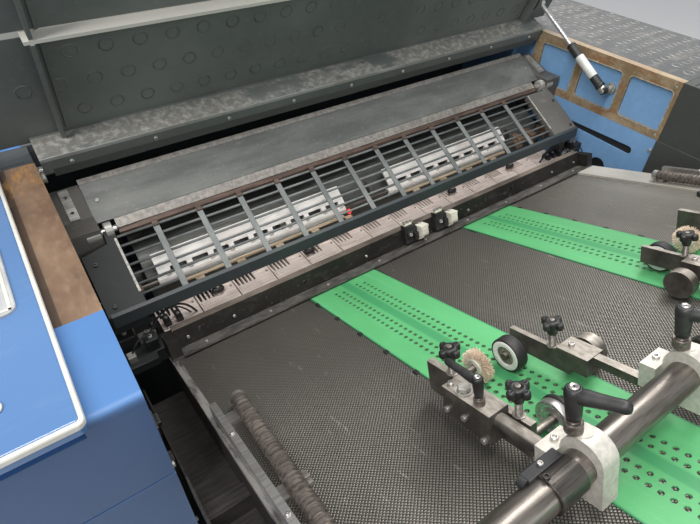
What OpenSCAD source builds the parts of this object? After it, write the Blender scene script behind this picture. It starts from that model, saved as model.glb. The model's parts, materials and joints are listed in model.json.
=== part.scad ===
// Infeed section of a sheet-fed offset printing press: the sloping feed table with its two
// suction belts, the register zone under its swing-up grille, and the raised footboard,
// carried between two cast side frames and a stand at the feeder end.
// X runs across the press, +Y along the sheet's travel, Z up from the floor.
// Lengths along Y and Z are measured from the register line, where the table ends.

/* [Machine] */
// Clear width between the inner wall faces
inner_w = 1312; // [1260:4:1400]
// Thickness of each cast side frame
frame_t = 56; // [45:1:70]
// Overall width over the side housings
overall_w = 1960; // [1800:10:2200]
// Height of the register line above the floor
line_z = 800; // [760:5:840]
// Height of the walking level above the register line
deck_h = 265; // [250:1:280]
// Feeder-side end of the housings, before the register line
nose_y = 265; // [220:5:300]
// Rear end of the section, behind the register line
rear_y = 640; // [600:5:760]

/* [Feed table] */
// Width of the feed table
table_w = 1176; // [1100:2:1180]
// Length of the feed table along its slope
table_l = 1240; // [1100:10:1300]
// Slope of the feed table
tilt = 20; // [15:0.5:22]
// Thickness of the table sheet
sheet_t = 4; // [3:0.5:6]
// Width of a suction belt
belt_w = 156; // [120:2:170]
// Distance of each belt's centre from the line midway between them
belt_x = 206; // [190:2:230]
// Offset of that line from the machine's middle, towards the drive side
belt_shift = -26; // [-40:1:0]
// Thickness of a suction belt
belt_t = 2; // [1.5:0.5:3]
// Radius of the belt rollers
roller_r = 30; // [26:1:34]
// Diameter of a suction hole
hole_d = 7.5; // [6:0.5:9]
// Distance between suction holes along a row
hole_pitch = 12.7; // [12:0.1:26]

/* [Hold-down wheels] */
// Distance of the cross shaft from the register line, along the slope
shaft_s = 643; // [600:1:680]
// Height of the cross shaft above the table
shaft_h = 72; // [68:1:80]
// Diameter of the cross shaft
shaft_d = 34; // [28:1:36]
// Diameter of the rubber wheels
wheel_d = 50; // [44:1:54]
// Width of the rubber wheels
wheel_w = 18; // [14:1:22]

/* [Register zone] */
// Height of the front rail
rail_h = 45; // [36:1:52]
// Radius of the feed drum
drum_r = 100; // [80:1:105]
// Number of bays in the grille
bay_count = 14; // [8:1:18]
// Number of long rods in the grille
rod_count = 6; // [4:1:7]

/* [Footboard] */
// Reach of the footboard from its hinge
board_reach = 430; // [380:2:432]
// Thickness of the footboard plate
board_t = 4; // [3:0.5:5]
// Angle at which the footboard stands open
board_open = 69; // [55:1:75]

/* [Hidden] */
$fn = 48;
big = 2000;
seat = 0.3;
run = 0.05;
wall_x = inner_w / 2;
liner_t = 8;
frame_in = wall_x + liner_t;
frame_out = frame_in + frame_t;
side_x = overall_w / 2;
plinth_h = 80;
floor_h = -line_z;
rail_deep = 62;
feeder_y = table_l * cos(tilt) + (sheet_t + rail_deep) * sin(tilt);
mid_y = (feeder_y - rear_y) / 2;
shell_t = 3;
cap_h = deck_h + board_t;
seam_h = 101;
ledge_front = -114;

hinge_y = 321;
hinge_h = deck_h - 30;
hinge_r = 9;
sheet_n = deck_h - hinge_h + seat;
lip_a = 54;
board_w = 2 * frame_out - 24;

strut_x = wall_x - 26;
strut_y = 40;
strut_h = 189;
strut_top_a = 106;
strut_top_n = 14;
tube_l = 152;
tube_r = 11;
rod_r = 5;
strut_pin_r = 4;
top_y = hinge_y - strut_top_a * sin(90 - board_open) + strut_top_n * cos(90 - board_open);
top_h = hinge_h + strut_top_a * cos(90 - board_open) + strut_top_n * sin(90 - board_open);
strut_l = norm([top_y - strut_y, top_h - strut_h]);
strut_a = atan2(top_h - strut_h, top_y - strut_y);

drum_y = 238;
drum_h = -8;
journal_r = 25;

grille_y = 205;
grille_h = 152;
grille_w = 1196;
grille_pin_r = 6;

blue = [0.16, 0.36, 0.66];
tan_paint = [0.62, 0.47, 0.34];
slate = [0.17, 0.19, 0.20];
steel = [0.55, 0.54, 0.52];
dark_steel = [0.22, 0.21, 0.20];
black = [0.07, 0.07, 0.07];
cream = [0.86, 0.84, 0.76];

// Places the children with the register line as their origin.
module at_line() {
    translate([0, mid_y, line_z]) children();
}

// Places the children on the table: Y runs down the slope, Z stands off its surface.
module on_table() {
    at_line() rotate([-tilt, 0, 0]) children();
}

// A box between two opposite corners.
module block(low, high) {
    translate(low) cube(high - low);
}

// Extrudes a profile drawn in Y and Z from one X to another.
module across(x0, x1) {
    translate([x0, 0, 0]) rotate([90, 0, 90]) linear_extrude(x1 - x0) children();
}

module rounded(size, r) {
    offset(r) square([size[0] - 2 * r, size[1] - 2 * r], center = true);
}

// Round bar along X.
module bar_x(r, x0, x1) {
    translate([x0, 0, 0]) rotate([0, 90, 0]) cylinder(r = r, h = x1 - x0);
}

module both_sides() {
    children();
    mirror([1, 0, 0]) children();
}

// Side frames, drawn as a casting outline with ribbed pockets on the inner face
frame_top = deck_h - shell_t;
frame_front = -nose_y + shell_t;

corner_r = 90;

module frame_outline() {
    polygon(concat(
        [[frame_front, floor_h], [rear_y, floor_h], [rear_y, frame_top]],
        [for (a = [90 : 7.5 : 180])
            [frame_front + corner_r + corner_r * cos(a), frame_top - corner_r + corner_r * sin(a)]]
    ));
}

// Cover over the frame's nose: corner radius r, up to a top, back to y1
module nose_profile(r, top, y1) {
    intersection() {
        hull() {
            translate([-nose_y, seam_h]) square([y1 + nose_y, 1]);
            translate([-nose_y + r, top - r]) circle(r);
            translate([y1 - 2, top - 2]) square(2);
        }
        translate([-nose_y, seam_h]) square([y1 + nose_y, top - seam_h]);
    }
}

module side_frame() {
    pocket_d = 14;
    difference() {
        across(frame_in, frame_out) frame_outline();
        for (y = [-160, 120, 400])
            translate([frame_in - 1, y, -440])
                rotate([90, 0, 90]) linear_extrude(pocket_d + 1) rounded([230, 440], 40);
        translate([0, drum_y, drum_h]) bar_x(journal_r + run, frame_in - 1, frame_in + 40);
        block([frame_in - 1, -90, floor_h - 1], [frame_out + 1, 440, floor_h + plinth_h]);
    }
}

module operator_side_frame() {
    color(blue) at_line() mirror([1, 0, 0]) side_frame();
}

module drive_side_frame() {
    color(blue) at_line() side_frame();
}

// Inner wall of the operator side, a plain sheet over the casting
module operator_liner() {
    color(slate) at_line() difference() {
        across(-frame_in, -wall_x) intersection() {
            translate([frame_front, -330]) square([340 - frame_front, big]);
            frame_outline();
        }
        translate([0, drum_y, drum_h]) bar_x(journal_r + 6, -frame_in - 1, -wall_x + 1);
    }
}

module operator_ledge() {
    color(tan_paint) at_line()
        block([-frame_out, ledge_front, frame_top], [-wall_x, hinge_y - 20, deck_h]);
}

// Blue cap over the nose of the operator frame
module operator_nose_cover() {
    color(blue) at_line() across(-frame_out, -wall_x) difference() {
        nose_profile(12, cap_h, ledge_front - 1);
        frame_outline();
    }
}

module operator_lower_cover() {
    color(blue) at_line() block([-frame_out, -nose_y, floor_h + plinth_h], [-wall_x, frame_front, seam_h - 3]);
}

module operator_housing() {
    color(blue) at_line() difference() {
        union() {
            block([-side_x, -nose_y, floor_h + plinth_h], [-frame_out, rear_y, deck_h - 18]);
            block([-side_x, lid_y1 + 4, deck_h - 19], [-frame_out, rear_y, lid_low + lid_h]);
        }
        for (h = [seam_h, -330])
            block([-side_x - 1, -nose_y - 1, h - 3], [-frame_out + 1, -nose_y + 3, h]);
        block([-side_x - 1, 190, -730], [-side_x + 3, 194, deck_h + 1]);
    }
}

lid_y0 = -nose_y + 4;
lid_y1 = 300;
lid_low = deck_h - 18;
lid_h = 42;
lid_r = 34;
trim_t = 7;

module lid_outline(extra) {
    translate([-(side_x + frame_out) / 2, (lid_y0 + lid_y1) / 2])
        rounded([side_x - frame_out - 2 * (trim_t - extra), lid_y1 - lid_y0 - 2 * (trim_t - extra)], lid_r);
}

module console_lid() {
    color(blue) at_line() translate([0, 0, lid_low]) linear_extrude(lid_h) lid_outline(0);
}

module console_trim() {
    color(cream) at_line() translate([0, 0, lid_low + 14]) linear_extrude(lid_h - 18) difference() {
        lid_outline(trim_t);
        lid_outline(0);
    }
}

module console_panel() {
    color([0.72, 0.72, 0.71]) at_line() translate([-812, 4, lid_low + lid_h])
        linear_extrude(3) rounded([136, 116], 14);
}

// Tan frame with three rounded windows on the drive side's inner wall
window_w = 115;
window_h = 104;
window_gap = 22;

module drive_window_frame() {
    y0 = -128;
    y1 = hinge_y - 22;
    low = 115;
    color(tan_paint) at_line() difference() {
        union() {
            block([wall_x, y0, low], [frame_in, y1, deck_h - shell_t]);
            block([wall_x, y0, deck_h - shell_t], [frame_in + 14, y1, deck_h]);
        }
        for (i = [-1 : 1])
            translate([wall_x - 1, 78 + i * (window_w + window_gap), low + 72])
                rotate([90, 0, 90]) linear_extrude(liner_t + 1) rounded([window_w, window_h], 9);
    }
}

module drive_lower_panel() {
    slot_r = 7;
    color(blue) at_line() difference() {
        block([wall_x, frame_front, -330], [frame_in, 340, 115 - seat]);
        hull() for (y = [-66, 130])
            translate([0, y, 60]) bar_x(y < 0 ? slot_r + 4 : slot_r, wall_x - 1, frame_in + 1);
        translate([0, -2, -20]) bar_x(23, wall_x - 1, frame_in + 1);
        translate([0, drum_y, drum_h]) bar_x(journal_r + 6, wall_x - 1, frame_in + 1);
    }
}

module drive_tread_plate() {
    color(slate) at_line()
        block([frame_in + 15, -128, deck_h - shell_t], [side_x, rear_y, deck_h]);
}

// Curved cover that closes the drive side towards the feeder
module drive_nose_cover() {
    y1 = -129;
    color(black) at_line() difference() {
        union() {
            across(frame_in, side_x) difference() {
                nose_profile(corner_r + shell_t, deck_h, y1);
                frame_outline();
            }
            across(wall_x, frame_in) nose_profile(corner_r + shell_t, deck_h, y1);
        }
        block([frame_in, -156, deck_h - 1.5], [side_x + 1, -150, deck_h + 1]);
        block([wall_x - 1, -nose_y + 3, seam_h - 1], [frame_in + 1, y1 + 1, 115]);
    }
}

module drive_housing() {
    color(blue) at_line() difference() {
        across(frame_out, side_x) difference() {
            union() {
                frame_outline();
                translate([-nose_y, floor_h]) square([nose_y, seam_h - 3 - floor_h]);
            }
            translate([-big / 2, floor_h - 1]) square([big * 2, plinth_h + 1]);
        }
        for (y = [40, 340])
            block([side_x - 3, y, floor_h + plinth_h - 1], [side_x + 1, y + 4, frame_top + 1]);
    }
}

module rear_deck() {
    y0 = hinge_y + 48;
    color(slate) at_line() {
        block([-wall_x - liner_t, y0, deck_h - 6], [wall_x + liner_t, rear_y - 60, deck_h]);
        block([-wall_x - liner_t, y0, deck_h - 60], [wall_x + liner_t, y0 + 6, deck_h - 6]);
    }
}

module rear_bulkhead() {
    color(slate) at_line() difference() {
        block([-frame_in, rear_y - 70, floor_h + 120], [frame_in, rear_y - 60, deck_h - 6]);
        for (x = [-440, 0, 440])
            translate([x, rear_y - 66, -240]) rotate([90, 0, 0]) linear_extrude(5) rounded([380, 560], 24);
    }
}

module base_beams() {
    color(dark_steel) {
        at_line() for (y = [-190, 470])
            block([-frame_in, y, floor_h + 110], [frame_in, y + 90, floor_h + 230]);
        on_table() both_sides()
            block([table_w / 2 - 44, -150, -sheet_t - rail_deep - 20], [wall_x, -60, -sheet_t - rail_deep]);
    }
}

// Tray across the machine that catches drips from the register zone
module drip_tray() {
    tray_t = 4;
    low = -300;
    color(dark_steel) at_line() {
        block([-wall_x, -nose_y + 25, low], [wall_x, rear_y - 80, low + tray_t]);
        for (y = [-nose_y + 25, rear_y - 84])
            block([-wall_x, y, low + tray_t], [wall_x, y + tray_t, low + 40]);
        for (x = [-330, 330])
            block([x - 20, -nose_y + 60, low - 30], [x + 20, rear_y - 100, low]);
    }
}

// Feed table
notch_l = 72;
strip_w = 65;
fold_w = 12;
edge_h = 4;
gutter_w = 60;
gutter_deep = sheet_t + rail_deep;

module table_sheet() {
    color(dark_steel) on_table() difference() {
        union() {
            block([-table_w / 2, -table_l, -sheet_t], [table_w / 2, 0, 0]);
            block([table_w / 2 - strip_w, -table_l, 0], [table_w / 2, -30, edge_h]);
            block([-table_w / 2, -table_l, 0], [-table_w / 2 + fold_w, -30, edge_h]);
        }
        for (x = [belt_shift - belt_x, belt_shift + belt_x]) {
            block([x - belt_w / 2 - 4, -notch_l, -10], [x + belt_w / 2 + 4, 1, 1]);
            block([x - belt_w / 2 - 4, -table_l - 1, -10], [x + belt_w / 2 + 4, -table_l + notch_l, 1]);
        }
    }
}

// Channel section under each edge, with the cable gutter that fills the gap to the walls
module table_side_rails() {
    color(dark_steel) on_table() both_sides() difference() {
        block([table_w / 2 - 44, -table_l, -sheet_t - rail_deep], [table_w / 2, 0, -sheet_t]);
        block([table_w / 2 - 37, -table_l - 1, -sheet_t - rail_deep + 6], [table_w / 2 - 7, 1, -sheet_t - 6]);
    }
    color(dark_steel) on_table() both_sides() {
        block([table_w / 2, -table_l, -gutter_deep], [table_w / 2 + gutter_w, -20, -gutter_deep + 3]);
        block([table_w / 2 + gutter_w - 3, -table_l, -gutter_deep + 3], [table_w / 2 + gutter_w, -20, -sheet_t - 22]);
        for (s = [330, 480, 640, 860, 1080])
            block([table_w / 2, -s - 14, -gutter_deep + 3], [table_w / 2 + gutter_w - 3, -s + 14, -gutter_deep + 26]);
    }
}

module suction_boxes() {
    color(slate) on_table() for (x = [belt_shift - belt_x, belt_shift + belt_x])
        block([x - 58, -table_l + 130, -50], [x + 58, -130, -sheet_t]);
}

roller_in = 36;
belt_margin = 20;

module belt_rollers() {
    color(steel) on_table() for (s = [roller_in, table_l - roller_in])
        translate([0, -s, -roller_r]) union() {
            for (x = [belt_shift - belt_x, belt_shift + belt_x])
                bar_x(roller_r - 0.2, x - belt_w / 2 - 1, x + belt_w / 2 + 1);
            bar_x(10, -table_w / 2 + 44, table_w / 2 - 44);
        }
}

module loop_outline(r) {
    hull() for (s = [roller_in, table_l - roller_in])
        translate([-s, -roller_r]) circle(r);
}

// Two staggered double rows of suction holes over the belt's upper run
module hole_rows() {
    rows = [-34, -19.5, 15.5, 30];
    count = floor((table_l - 2 * roller_in - 2 * belt_margin) / hole_pitch);
    for (i = [0 : count - 1], j = [0 : len(rows) - 1])
        translate([rows[j], -roller_in - belt_margin - (i + (j % 2) / 2) * hole_pitch])
            circle(d = hole_d, $fn = 6);
}

// One endless belt round its two rollers
module belt(x) {
    on_table() {
        difference() {
            across(x - belt_w / 2, x + belt_w / 2) difference() {
                loop_outline(roller_r + belt_t);
                loop_outline(roller_r);
            }
            block([x - belt_w / 2 - 1, roller_in - table_l, -1], [x + belt_w / 2 + 1, -roller_in, belt_t + 1]);
        }
        translate([x, 0, 0]) linear_extrude(belt_t) difference() {
            translate([-belt_w / 2, roller_in - table_l]) square([belt_w, table_l - 2 * roller_in]);
            hole_rows();
        }
    }
}

module left_belt() {
    color([0.18, 0.66, 0.38]) belt(belt_shift - belt_x);
}

module right_belt() {
    color([0.18, 0.66, 0.38]) belt(belt_shift + belt_x);
}

stand_s = table_l - 60;

module table_stand() {
    post = 60;
    y = -stand_s * cos(tilt);
    top = stand_s * sin(tilt) - (rail_deep + sheet_t) / cos(tilt);
    color(dark_steel) at_line() both_sides() {
        difference() {
            block([table_w / 2 - 52, y - post / 2, floor_h + 12], [table_w / 2 + 8, y + post / 2, top + 60]);
            rotate([-tilt, 0, 0])
                block([0, -table_l - 50, -rail_deep - sheet_t], [big, 0, 200]);
        }
        block([table_w / 2 - 82, y - 60, floor_h], [table_w / 2 + 38, y + 60, floor_h + 12]);
        for (h = [-560, 60])
            block([0, y - 20, h], [table_w / 2 - 52, y + 20, h + 60]);
    }
}

// Register zone
module front_rail() {
    half = table_w / 2 - 22;
    color(dark_steel) on_table() difference() {
        union() {
            block([-half, 0, 4], [half, 6, rail_h]);
            block([-half, -30, 4], [half, 0, 7]);
            block([-half, 6, rail_h - 5], [half, 20, rail_h]);
            for (x = [-1, 1])
                translate([x * (half + 10), 0, 0]) block([-10, -28, 0], [10, 20, rail_h - 6]);
        }
        for (x = [-300, 0, 300])
            translate([x, -1, 26]) rotate([-90, 0, 0]) cylinder(r = 4, h = 8);
    }
}

module sheet_sensors() {
    on_table() for (x = [-26, 62]) translate([x, 0, 0]) {
        color(black) block([-22, -8, 14], [10, -seat, 44]);
        color(cream) block([10 + seat, -26, 22], [30, -6, 44]);
        color(black) block([10, -14, 12], [26, -seat, 22]);
    }
}

module comb(w, teeth, deep) {
    step = w / teeth;
    for (i = [0 : teeth - 1])
        translate([-w / 2 + (i + 0.5) * step, 0]) square([step * 0.42, deep], center = true);
}

lay_pitch = 82;
lay_count = 14;

module register_plates() {
    plate_w = 76;
    color([0.72, 0.62, 0.58]) at_line() for (k = [0 : lay_count - 1])
        translate([(k - (lay_count - 1) / 2) * lay_pitch, 0, -12]) linear_extrude(8) difference() {
            translate([0, 66]) square([plate_w, 64], center = true);
            translate([0, 98]) square([26, 40], center = true);
            translate([0, 60]) rounded([46, 14], 5);
            translate([0, 38]) comb(plate_w - 8, 5, 14);
        }
}

module front_lays() {
    at_line() {
        color(dark_steel) block([-wall_x, 36, -44], [wall_x, 84, -12]);
        color(steel) for (k = [0 : lay_count - 1])
            translate([(k - (lay_count - 1) / 2) * lay_pitch, 0, 0])
                block([-9, 84, -40], [9, 100, 6]);
    }
}

// Slotted bar, round bar and strip seen through the grille, on posts from wall to wall
grip_y = 138;
grip_h = 52;

module gripper_bars() {
    grip_l = 1020;
    slots = 11;
    color(steel) at_line() {
        translate([0, grip_y, grip_h]) bar_x(8, -wall_x, wall_x);
        translate([-grip_l / 2 - 31, 146, 70]) rotate([38, 0, 0]) difference() {
            cube([grip_l, 34, 4]);
            for (k = [0 : slots - 1])
                translate([34 + k * (grip_l - 30) / slots, 3, -1]) cube([58, 7, 6]);
        }
        for (x = [-1 : 0.5 : 1])
            across(x * 470 - 42, x * 470 - 32) polygon([[133, 50], [146, 44], [166, 80], [160, 84], [146, 72]]);
        block([-500, 118, 44], [500, 136, 48]);
    }
}

module feed_drum() {
    color(steel) at_line() translate([0, drum_y, drum_h]) {
        difference() {
            bar_x(drum_r, -560, 560);
            translate([-550, -drum_r - 1, -16]) cube([1100, 34, 34]);
        }
        bar_x(journal_r, -frame_in - 34, frame_in + 34);
        for (k = [-6.5 : 1 : 6.5])
            translate([k * 80 - 16, -drum_r + 6, -14]) cube([32, 30, 10]);
        translate([-545, -drum_r + 20, -4]) cube([1090, 8, 8]);
    }
}

// Worn sheet between the grille and the footboard's hinge
hood_a = atan2(44, 70);
bracket_x = 604;

module hood_plate() {
    color([0.36, 0.37, 0.36]) at_line() translate([0, 228, 155]) rotate([hood_a, 0, 0]) {
        block([-bracket_x, 0, 0], [bracket_x, 82, 5]);
        block([-bracket_x, 77, -30], [bracket_x, 82, 0]);
    }
}

module hood_brackets() {
    color(steel) at_line() both_sides()
        across(bracket_x, wall_x) polygon([[192, 70], [310, 70], [310, 196], [238, 168], [192, 168]]);
}

// Fixed pins: the footboard's hinge rod, the grille's two pins and the strut's stud
module pivot_pins() {
    color(steel) at_line() {
        translate([0, hinge_y, hinge_h]) bar_x(hinge_r, -wall_x, frame_in);
        both_sides() translate([0, grille_y, grille_h]) bar_x(grille_pin_r, grille_w / 2 - 22, bracket_x);
        translate([0, strut_y, strut_h]) {
            bar_x(strut_pin_r, strut_x - 11, frame_in);
            bar_x(14, frame_in - 5, frame_in);
        }
    }
}

// Side guides at the table's edges: a steel bar and a ridged rod on three feet
guide_feet = [240, 410, 580];
rod_ridge = 12;
rod_turn = 2.4;

module on_edge(side) {
    on_table() translate([0, 0, side > 0 ? edge_h : 0]) mirror([side < 0 ? 1 : 0, 0, 0]) children();
}

module side_guides() {
    color(steel) for (side = [-1, 1]) on_edge(side) {
        block([table_w / 2 - 16, -700, side < 0 ? edge_h : 0], [table_w / 2 - 6, -220, 26]);
        for (s = guide_feet)
            block([table_w / 2 - 60, -s - 12, 0], [table_w / 2 - 17, -s + 12, 4]);
    }
}

module ridged_rods() {
    pitch = 8;
    count = 46;
    groove = rod_ridge - 2;
    color(black) for (side = [-1, 1]) on_edge(side)
        translate([table_w / 2 - 47, -225, 4 + rod_ridge]) rotate([90, 0, rod_turn]) rotate_extrude() polygon(concat(
            [[0, 0]],
            [for (i = [0 : count - 1], p = [[groove, 0], [groove, 3], [rod_ridge, 4], [rod_ridge, 7]])
                [p[0], p[1] + i * pitch]],
            [[groove, count * pitch], [0, count * pitch]]
        ));
}

// Cross shaft with its clamps and the arms that carry the wheels
// Each belt has an outer and an inner set. Places are given for the operator side's belt,
// across the machine and up the slope, and the drive side's are their mirror image. Where
// there are two places, the second is the drive side's, mirrored.
clamp_w = 24;
crown_r = 23;
crown_h = 79;
clamp_low = 30;
foot_w = 39;
foot_s = 603;
lever_r = 9.5;
lever_back = 7;
lever_seat = crown_h + crown_r + 1;
outer_clamp_x = -346;
inner_clamp_x = -168;
tyre_at = [-271, 560];
brush_at = [[-264, 430], [-289, 447]];
ring_at = [[-215, 442], [-207, 445]];
wheel_h = wheel_d / 2 + belt_t + 0.2;
axle_r = 5;
plate_x = -333;
block_top = 75;

module both_belts() {
    on_table() for ($side = [0, 1])
        translate([belt_shift, 0, 0]) mirror([$side, 0, 0]) translate([-belt_shift, 0, 0]) children();
}

module cross_shaft() {
    color(dark_steel) on_table() {
        translate([0, -shaft_s, shaft_h]) bar_x(shaft_d / 2, -table_w / 2 - 16, table_w / 2 + 16);
        both_sides() difference() {
            block([table_w / 2 - 3.5, -shaft_s - 26, edge_h], [table_w / 2 + 8, -shaft_s + 26, shaft_h + 26]);
            translate([0, -shaft_s, shaft_h]) bar_x(shaft_d / 2 - 0.01, table_w / 2 - 40, table_w / 2 + 30);
        }
    }
}

// Arched clamp hung on the shaft, with a block in front that takes the arm
module shaft_clamp(x) {
    translate([x, 0, 0]) difference() {
        union() {
            across(0, clamp_w) {
                translate([-shaft_s, crown_h]) circle(crown_r);
                translate([-shaft_s - crown_r, clamp_low]) square([2 * crown_r, crown_h - clamp_low]);
            }
            block([clamp_w - foot_w, -shaft_s + crown_r - 1, 46], [clamp_w, -foot_s, 78]);
            translate([clamp_w / 2, lever_back - shaft_s, shaft_h]) cylinder(r = lever_r + 1, h = lever_seat - shaft_h);
        }
        translate([0, -shaft_s, shaft_h]) bar_x(shaft_d / 2 + run, -1, clamp_w + 1);
    }
}

module shaft_clamps() {
    color([0.74, 0.74, 0.72]) both_belts() {
        shaft_clamp(outer_clamp_x);
        shaft_clamp(inner_clamp_x);
    }
}

module wheel_arms() {
    color(dark_steel) both_belts() {
        // Outer: round bar, block and the plate that carries the tyred wheel and the brush
        translate([-347, -foot_s, 62]) rotate([-90, 0, 0]) cylinder(r = 9, h = 59);
        block([-362, -545, 34], [-332, -471, block_top]);
        block([plate_x, -575, 18], [plate_x + 10, -410, 64]);
        for (p = [tyre_at, brush_at[$side]])
            translate([0, -p[1], wheel_h]) bar_x(axle_r, plate_x + 5, p[0] + 11);
        // Inner: square bar, bracket, the plate that carries the ringed wheel, and a small roller
        block([-180, -foot_s, 41], [-168, -540, 53]);
        block([-192, -545, 28], [-160, -500, 54]);
        block([-192, -520, 20], [-184, -424, 50]);
        translate([0, -ring_at[$side][1], wheel_h]) bar_x(axle_r, ring_at[$side][0] - 12, -186);
        translate([0, -512, 28]) {
            bar_x(6, -165, -149);
            bar_x(22, -150, -132);
        }
    }
}

module star_knob() {
    cylinder(r = 4, h = 30);
    translate([0, 0, 27]) linear_extrude(13) difference() {
        circle(14);
        for (a = [45 : 90 : 360])
            rotate(a) translate([16.5, 0]) circle(7);
    }
}

// Adjustable lever: steel stud, tapered hub and a handle that rises a little
module clamp_lever(turn, k) {
    rotate([0, 0, turn]) {
        cylinder(r = 6 * k, h = 24 * k);
        translate([0, 0, 22 * k]) cylinder(r1 = (lever_r - 1.5) * k, r2 = lever_r * k, h = 44 * k);
        translate([0, 0, 57 * k]) rotate([0, 84, 0]) cylinder(r1 = 7.5 * k, r2 = 5 * k, h = 60 * k);
    }
}

// Black star knobs on the arms, and the levers of the clamps and of the outer block
module clamp_handles() {
    color(black) both_belts() {
        for (s = [452, 556])
            translate([plate_x + 5, -s, 64]) star_knob();
        translate([-188, -492, 50]) star_knob();
        for (x = [outer_clamp_x, inner_clamp_x])
            translate([x + clamp_w / 2, lever_back - shaft_s, lever_seat]) clamp_lever(-38, 1);
        translate([-350, -522, block_top]) clamp_lever(130, 0.6);
    }
}

module wheel(d, w) {
    rotate([0, 90, 0]) translate([0, 0, -w / 2]) difference() {
        cylinder(d = d, h = w);
        translate([0, 0, -1]) cylinder(r = axle_r + run, h = w + 2);
        for (z = [-1, w - 3])
            translate([0, 0, z]) difference() {
                cylinder(d = d - 14, h = 4);
                cylinder(r = axle_r + 5, h = 4);
            }
    }
}

module placed_wheel(p, side, d, w) {
    x = side == 0 ? p[0] : 2 * belt_shift - p[0];
    on_table() translate([x, -p[1], wheel_h]) wheel(d, w);
}

module left_tyre_wheel() {
    color(steel) placed_wheel(tyre_at, 0, wheel_d, wheel_w);
}

module left_brush_wheel() {
    color(cream) placed_wheel(brush_at[0], 0, wheel_d, 16);
}

module left_ring_wheel() {
    color(black) placed_wheel(ring_at[0], 0, wheel_d, wheel_w);
}

module right_tyre_wheel() {
    color(steel) placed_wheel(tyre_at, 1, wheel_d, wheel_w);
}

module right_brush_wheel() {
    color(cream) placed_wheel(brush_at[1], 1, wheel_d, 16);
}

module right_ring_wheel() {
    color(black) placed_wheel(ring_at[1], 1, wheel_d, wheel_w);
}

// Swing-up grille over the register zone
module grille_guard() {
    slope = atan2(74, 105);
    l = norm([105, 74]);
    bay = grille_w / bay_count;
    half = grille_w / 2;
    color(slate) at_line() difference() {
        union() {
            translate([0, 88, 72]) rotate([slope, 0, 0]) {
                for (i = [1 : bay_count - 1])
                    block([-half + i * bay - 7, 0, -3], [-half + i * bay + 7, l, 0]);
                for (j = [1 : rod_count])
                    translate([0, j * l / (rod_count + 1), 0]) block([-half + 8, -2, -8], [half - 8, 2, -2]);
                for (x = [-half, half - 16])
                    block([x, 0, -22], [x + 16, l, 0]);
                block([-half + 2, l - 10, -4], [half - 2, l, 0]);
            }
            across(-half + 1, half - 1)
                polygon([[84, 74], [96, 28], [101, 28], [92, 66], [112, 82], [110, 87]]);
            for (x = [-half, half - 16])
                translate([0, grille_y, grille_h]) bar_x(14, x + 1, x + 15);
        }
        translate([0, grille_y, grille_h]) bar_x(grille_pin_r + run, -half - 1, half + 1);
    }
}

// Footboard with its angle section, ribs and hinge knuckles, drawn shut and swung open
module footboard() {
    lip_w = 2 * wall_x - 16;
    color(slate) at_line() translate([0, hinge_y, hinge_h]) rotate([-board_open, 0, 0]) {
        difference() {
            block([-board_w / 2, -board_reach, sheet_n], [board_w / 2, -4, sheet_n + board_t]);
            both_sides() block([lip_w / 2, -42, sheet_n - 1], [board_w, 0, sheet_n + board_t + 1]);
        }
        block([-lip_w / 2, -lip_a, -24], [lip_w / 2, -lip_a + 5, sheet_n]);
        block([-lip_w / 2, -lip_a, -24], [lip_w / 2, -16, -19]);
        block([-lip_w / 2 + 40, -256, sheet_n - 22], [lip_w / 2 - 40, -250, sheet_n]);
        block([-lip_w / 2 + 40, -board_reach, sheet_n - 14], [lip_w / 2 - 40, -board_reach + 5, sheet_n]);
        for (x = [-597, 597])
            block([x - 3, -board_reach + 5, sheet_n - 22], [x + 3, -lip_a + 5, sheet_n]);
        block([strut_x - 19, -strut_top_a - 14, 6], [strut_x - 13, -strut_top_a + 14, sheet_n]);
        for (x = [-500, 0, 500]) {
            translate([x, 0, 0]) difference() {
                union() {
                    bar_x(hinge_r + 6, -30, 30);
                    block([-30, -14, 0], [30, 12, sheet_n]);
                }
                bar_x(hinge_r + run, -31, 31);
            }
        }
    }
}

module strut_cylinder() {
    color(black) at_line() translate([strut_x, strut_y, strut_h]) rotate([strut_a, 0, 0]) {
        difference() {
            union() {
                translate([0, 12, 0]) rotate([-90, 0, 0]) cylinder(r = tube_r, h = tube_l - 12);
                bar_x(9, -7, 7);
                block([-5, 0, -7], [5, 16, 7]);
            }
            bar_x(strut_pin_r + run, -20, 20);
            translate([0, 17, 0]) rotate([-90, 0, 0]) cylinder(r = rod_r + run, h = tube_l);
        }
    }
}

module strut_rod() {
    rod_l = strut_l - tube_l + 20;
    color([0.8, 0.8, 0.8]) at_line() translate([strut_x, strut_y, strut_h]) rotate([strut_a, 0, 0]) {
        translate([0, strut_l - rod_l, 0]) rotate([-90, 0, 0]) cylinder(r = rod_r, h = rod_l);
        translate([0, strut_l, 0]) bar_x(9, -7, 7);
    }
}

operator_side_frame();
drive_side_frame();
operator_liner();
operator_ledge();
operator_nose_cover();
operator_lower_cover();
operator_housing();
console_lid();
console_trim();
console_panel();
drive_window_frame();
drive_lower_panel();
drive_tread_plate();
drive_nose_cover();
drive_housing();
rear_deck();
rear_bulkhead();
base_beams();
drip_tray();
table_sheet();
table_side_rails();
suction_boxes();
belt_rollers();
left_belt();
right_belt();
table_stand();
front_rail();
sheet_sensors();
register_plates();
front_lays();
gripper_bars();
feed_drum();
hood_plate();
hood_brackets();
pivot_pins();
side_guides();
ridged_rods();
cross_shaft();
shaft_clamps();
wheel_arms();
clamp_handles();
grille_guard();
footboard();
strut_cylinder();
strut_rod();
left_tyre_wheel();
left_brush_wheel();
left_ring_wheel();
right_tyre_wheel();
right_brush_wheel();
right_ring_wheel();
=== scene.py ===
"""Looks of an offset press's infeed section: finishes, fasteners and small fittings."""
import json
import math
import random

import bmesh
import bpy
from mathutils import Matrix, Vector


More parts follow.
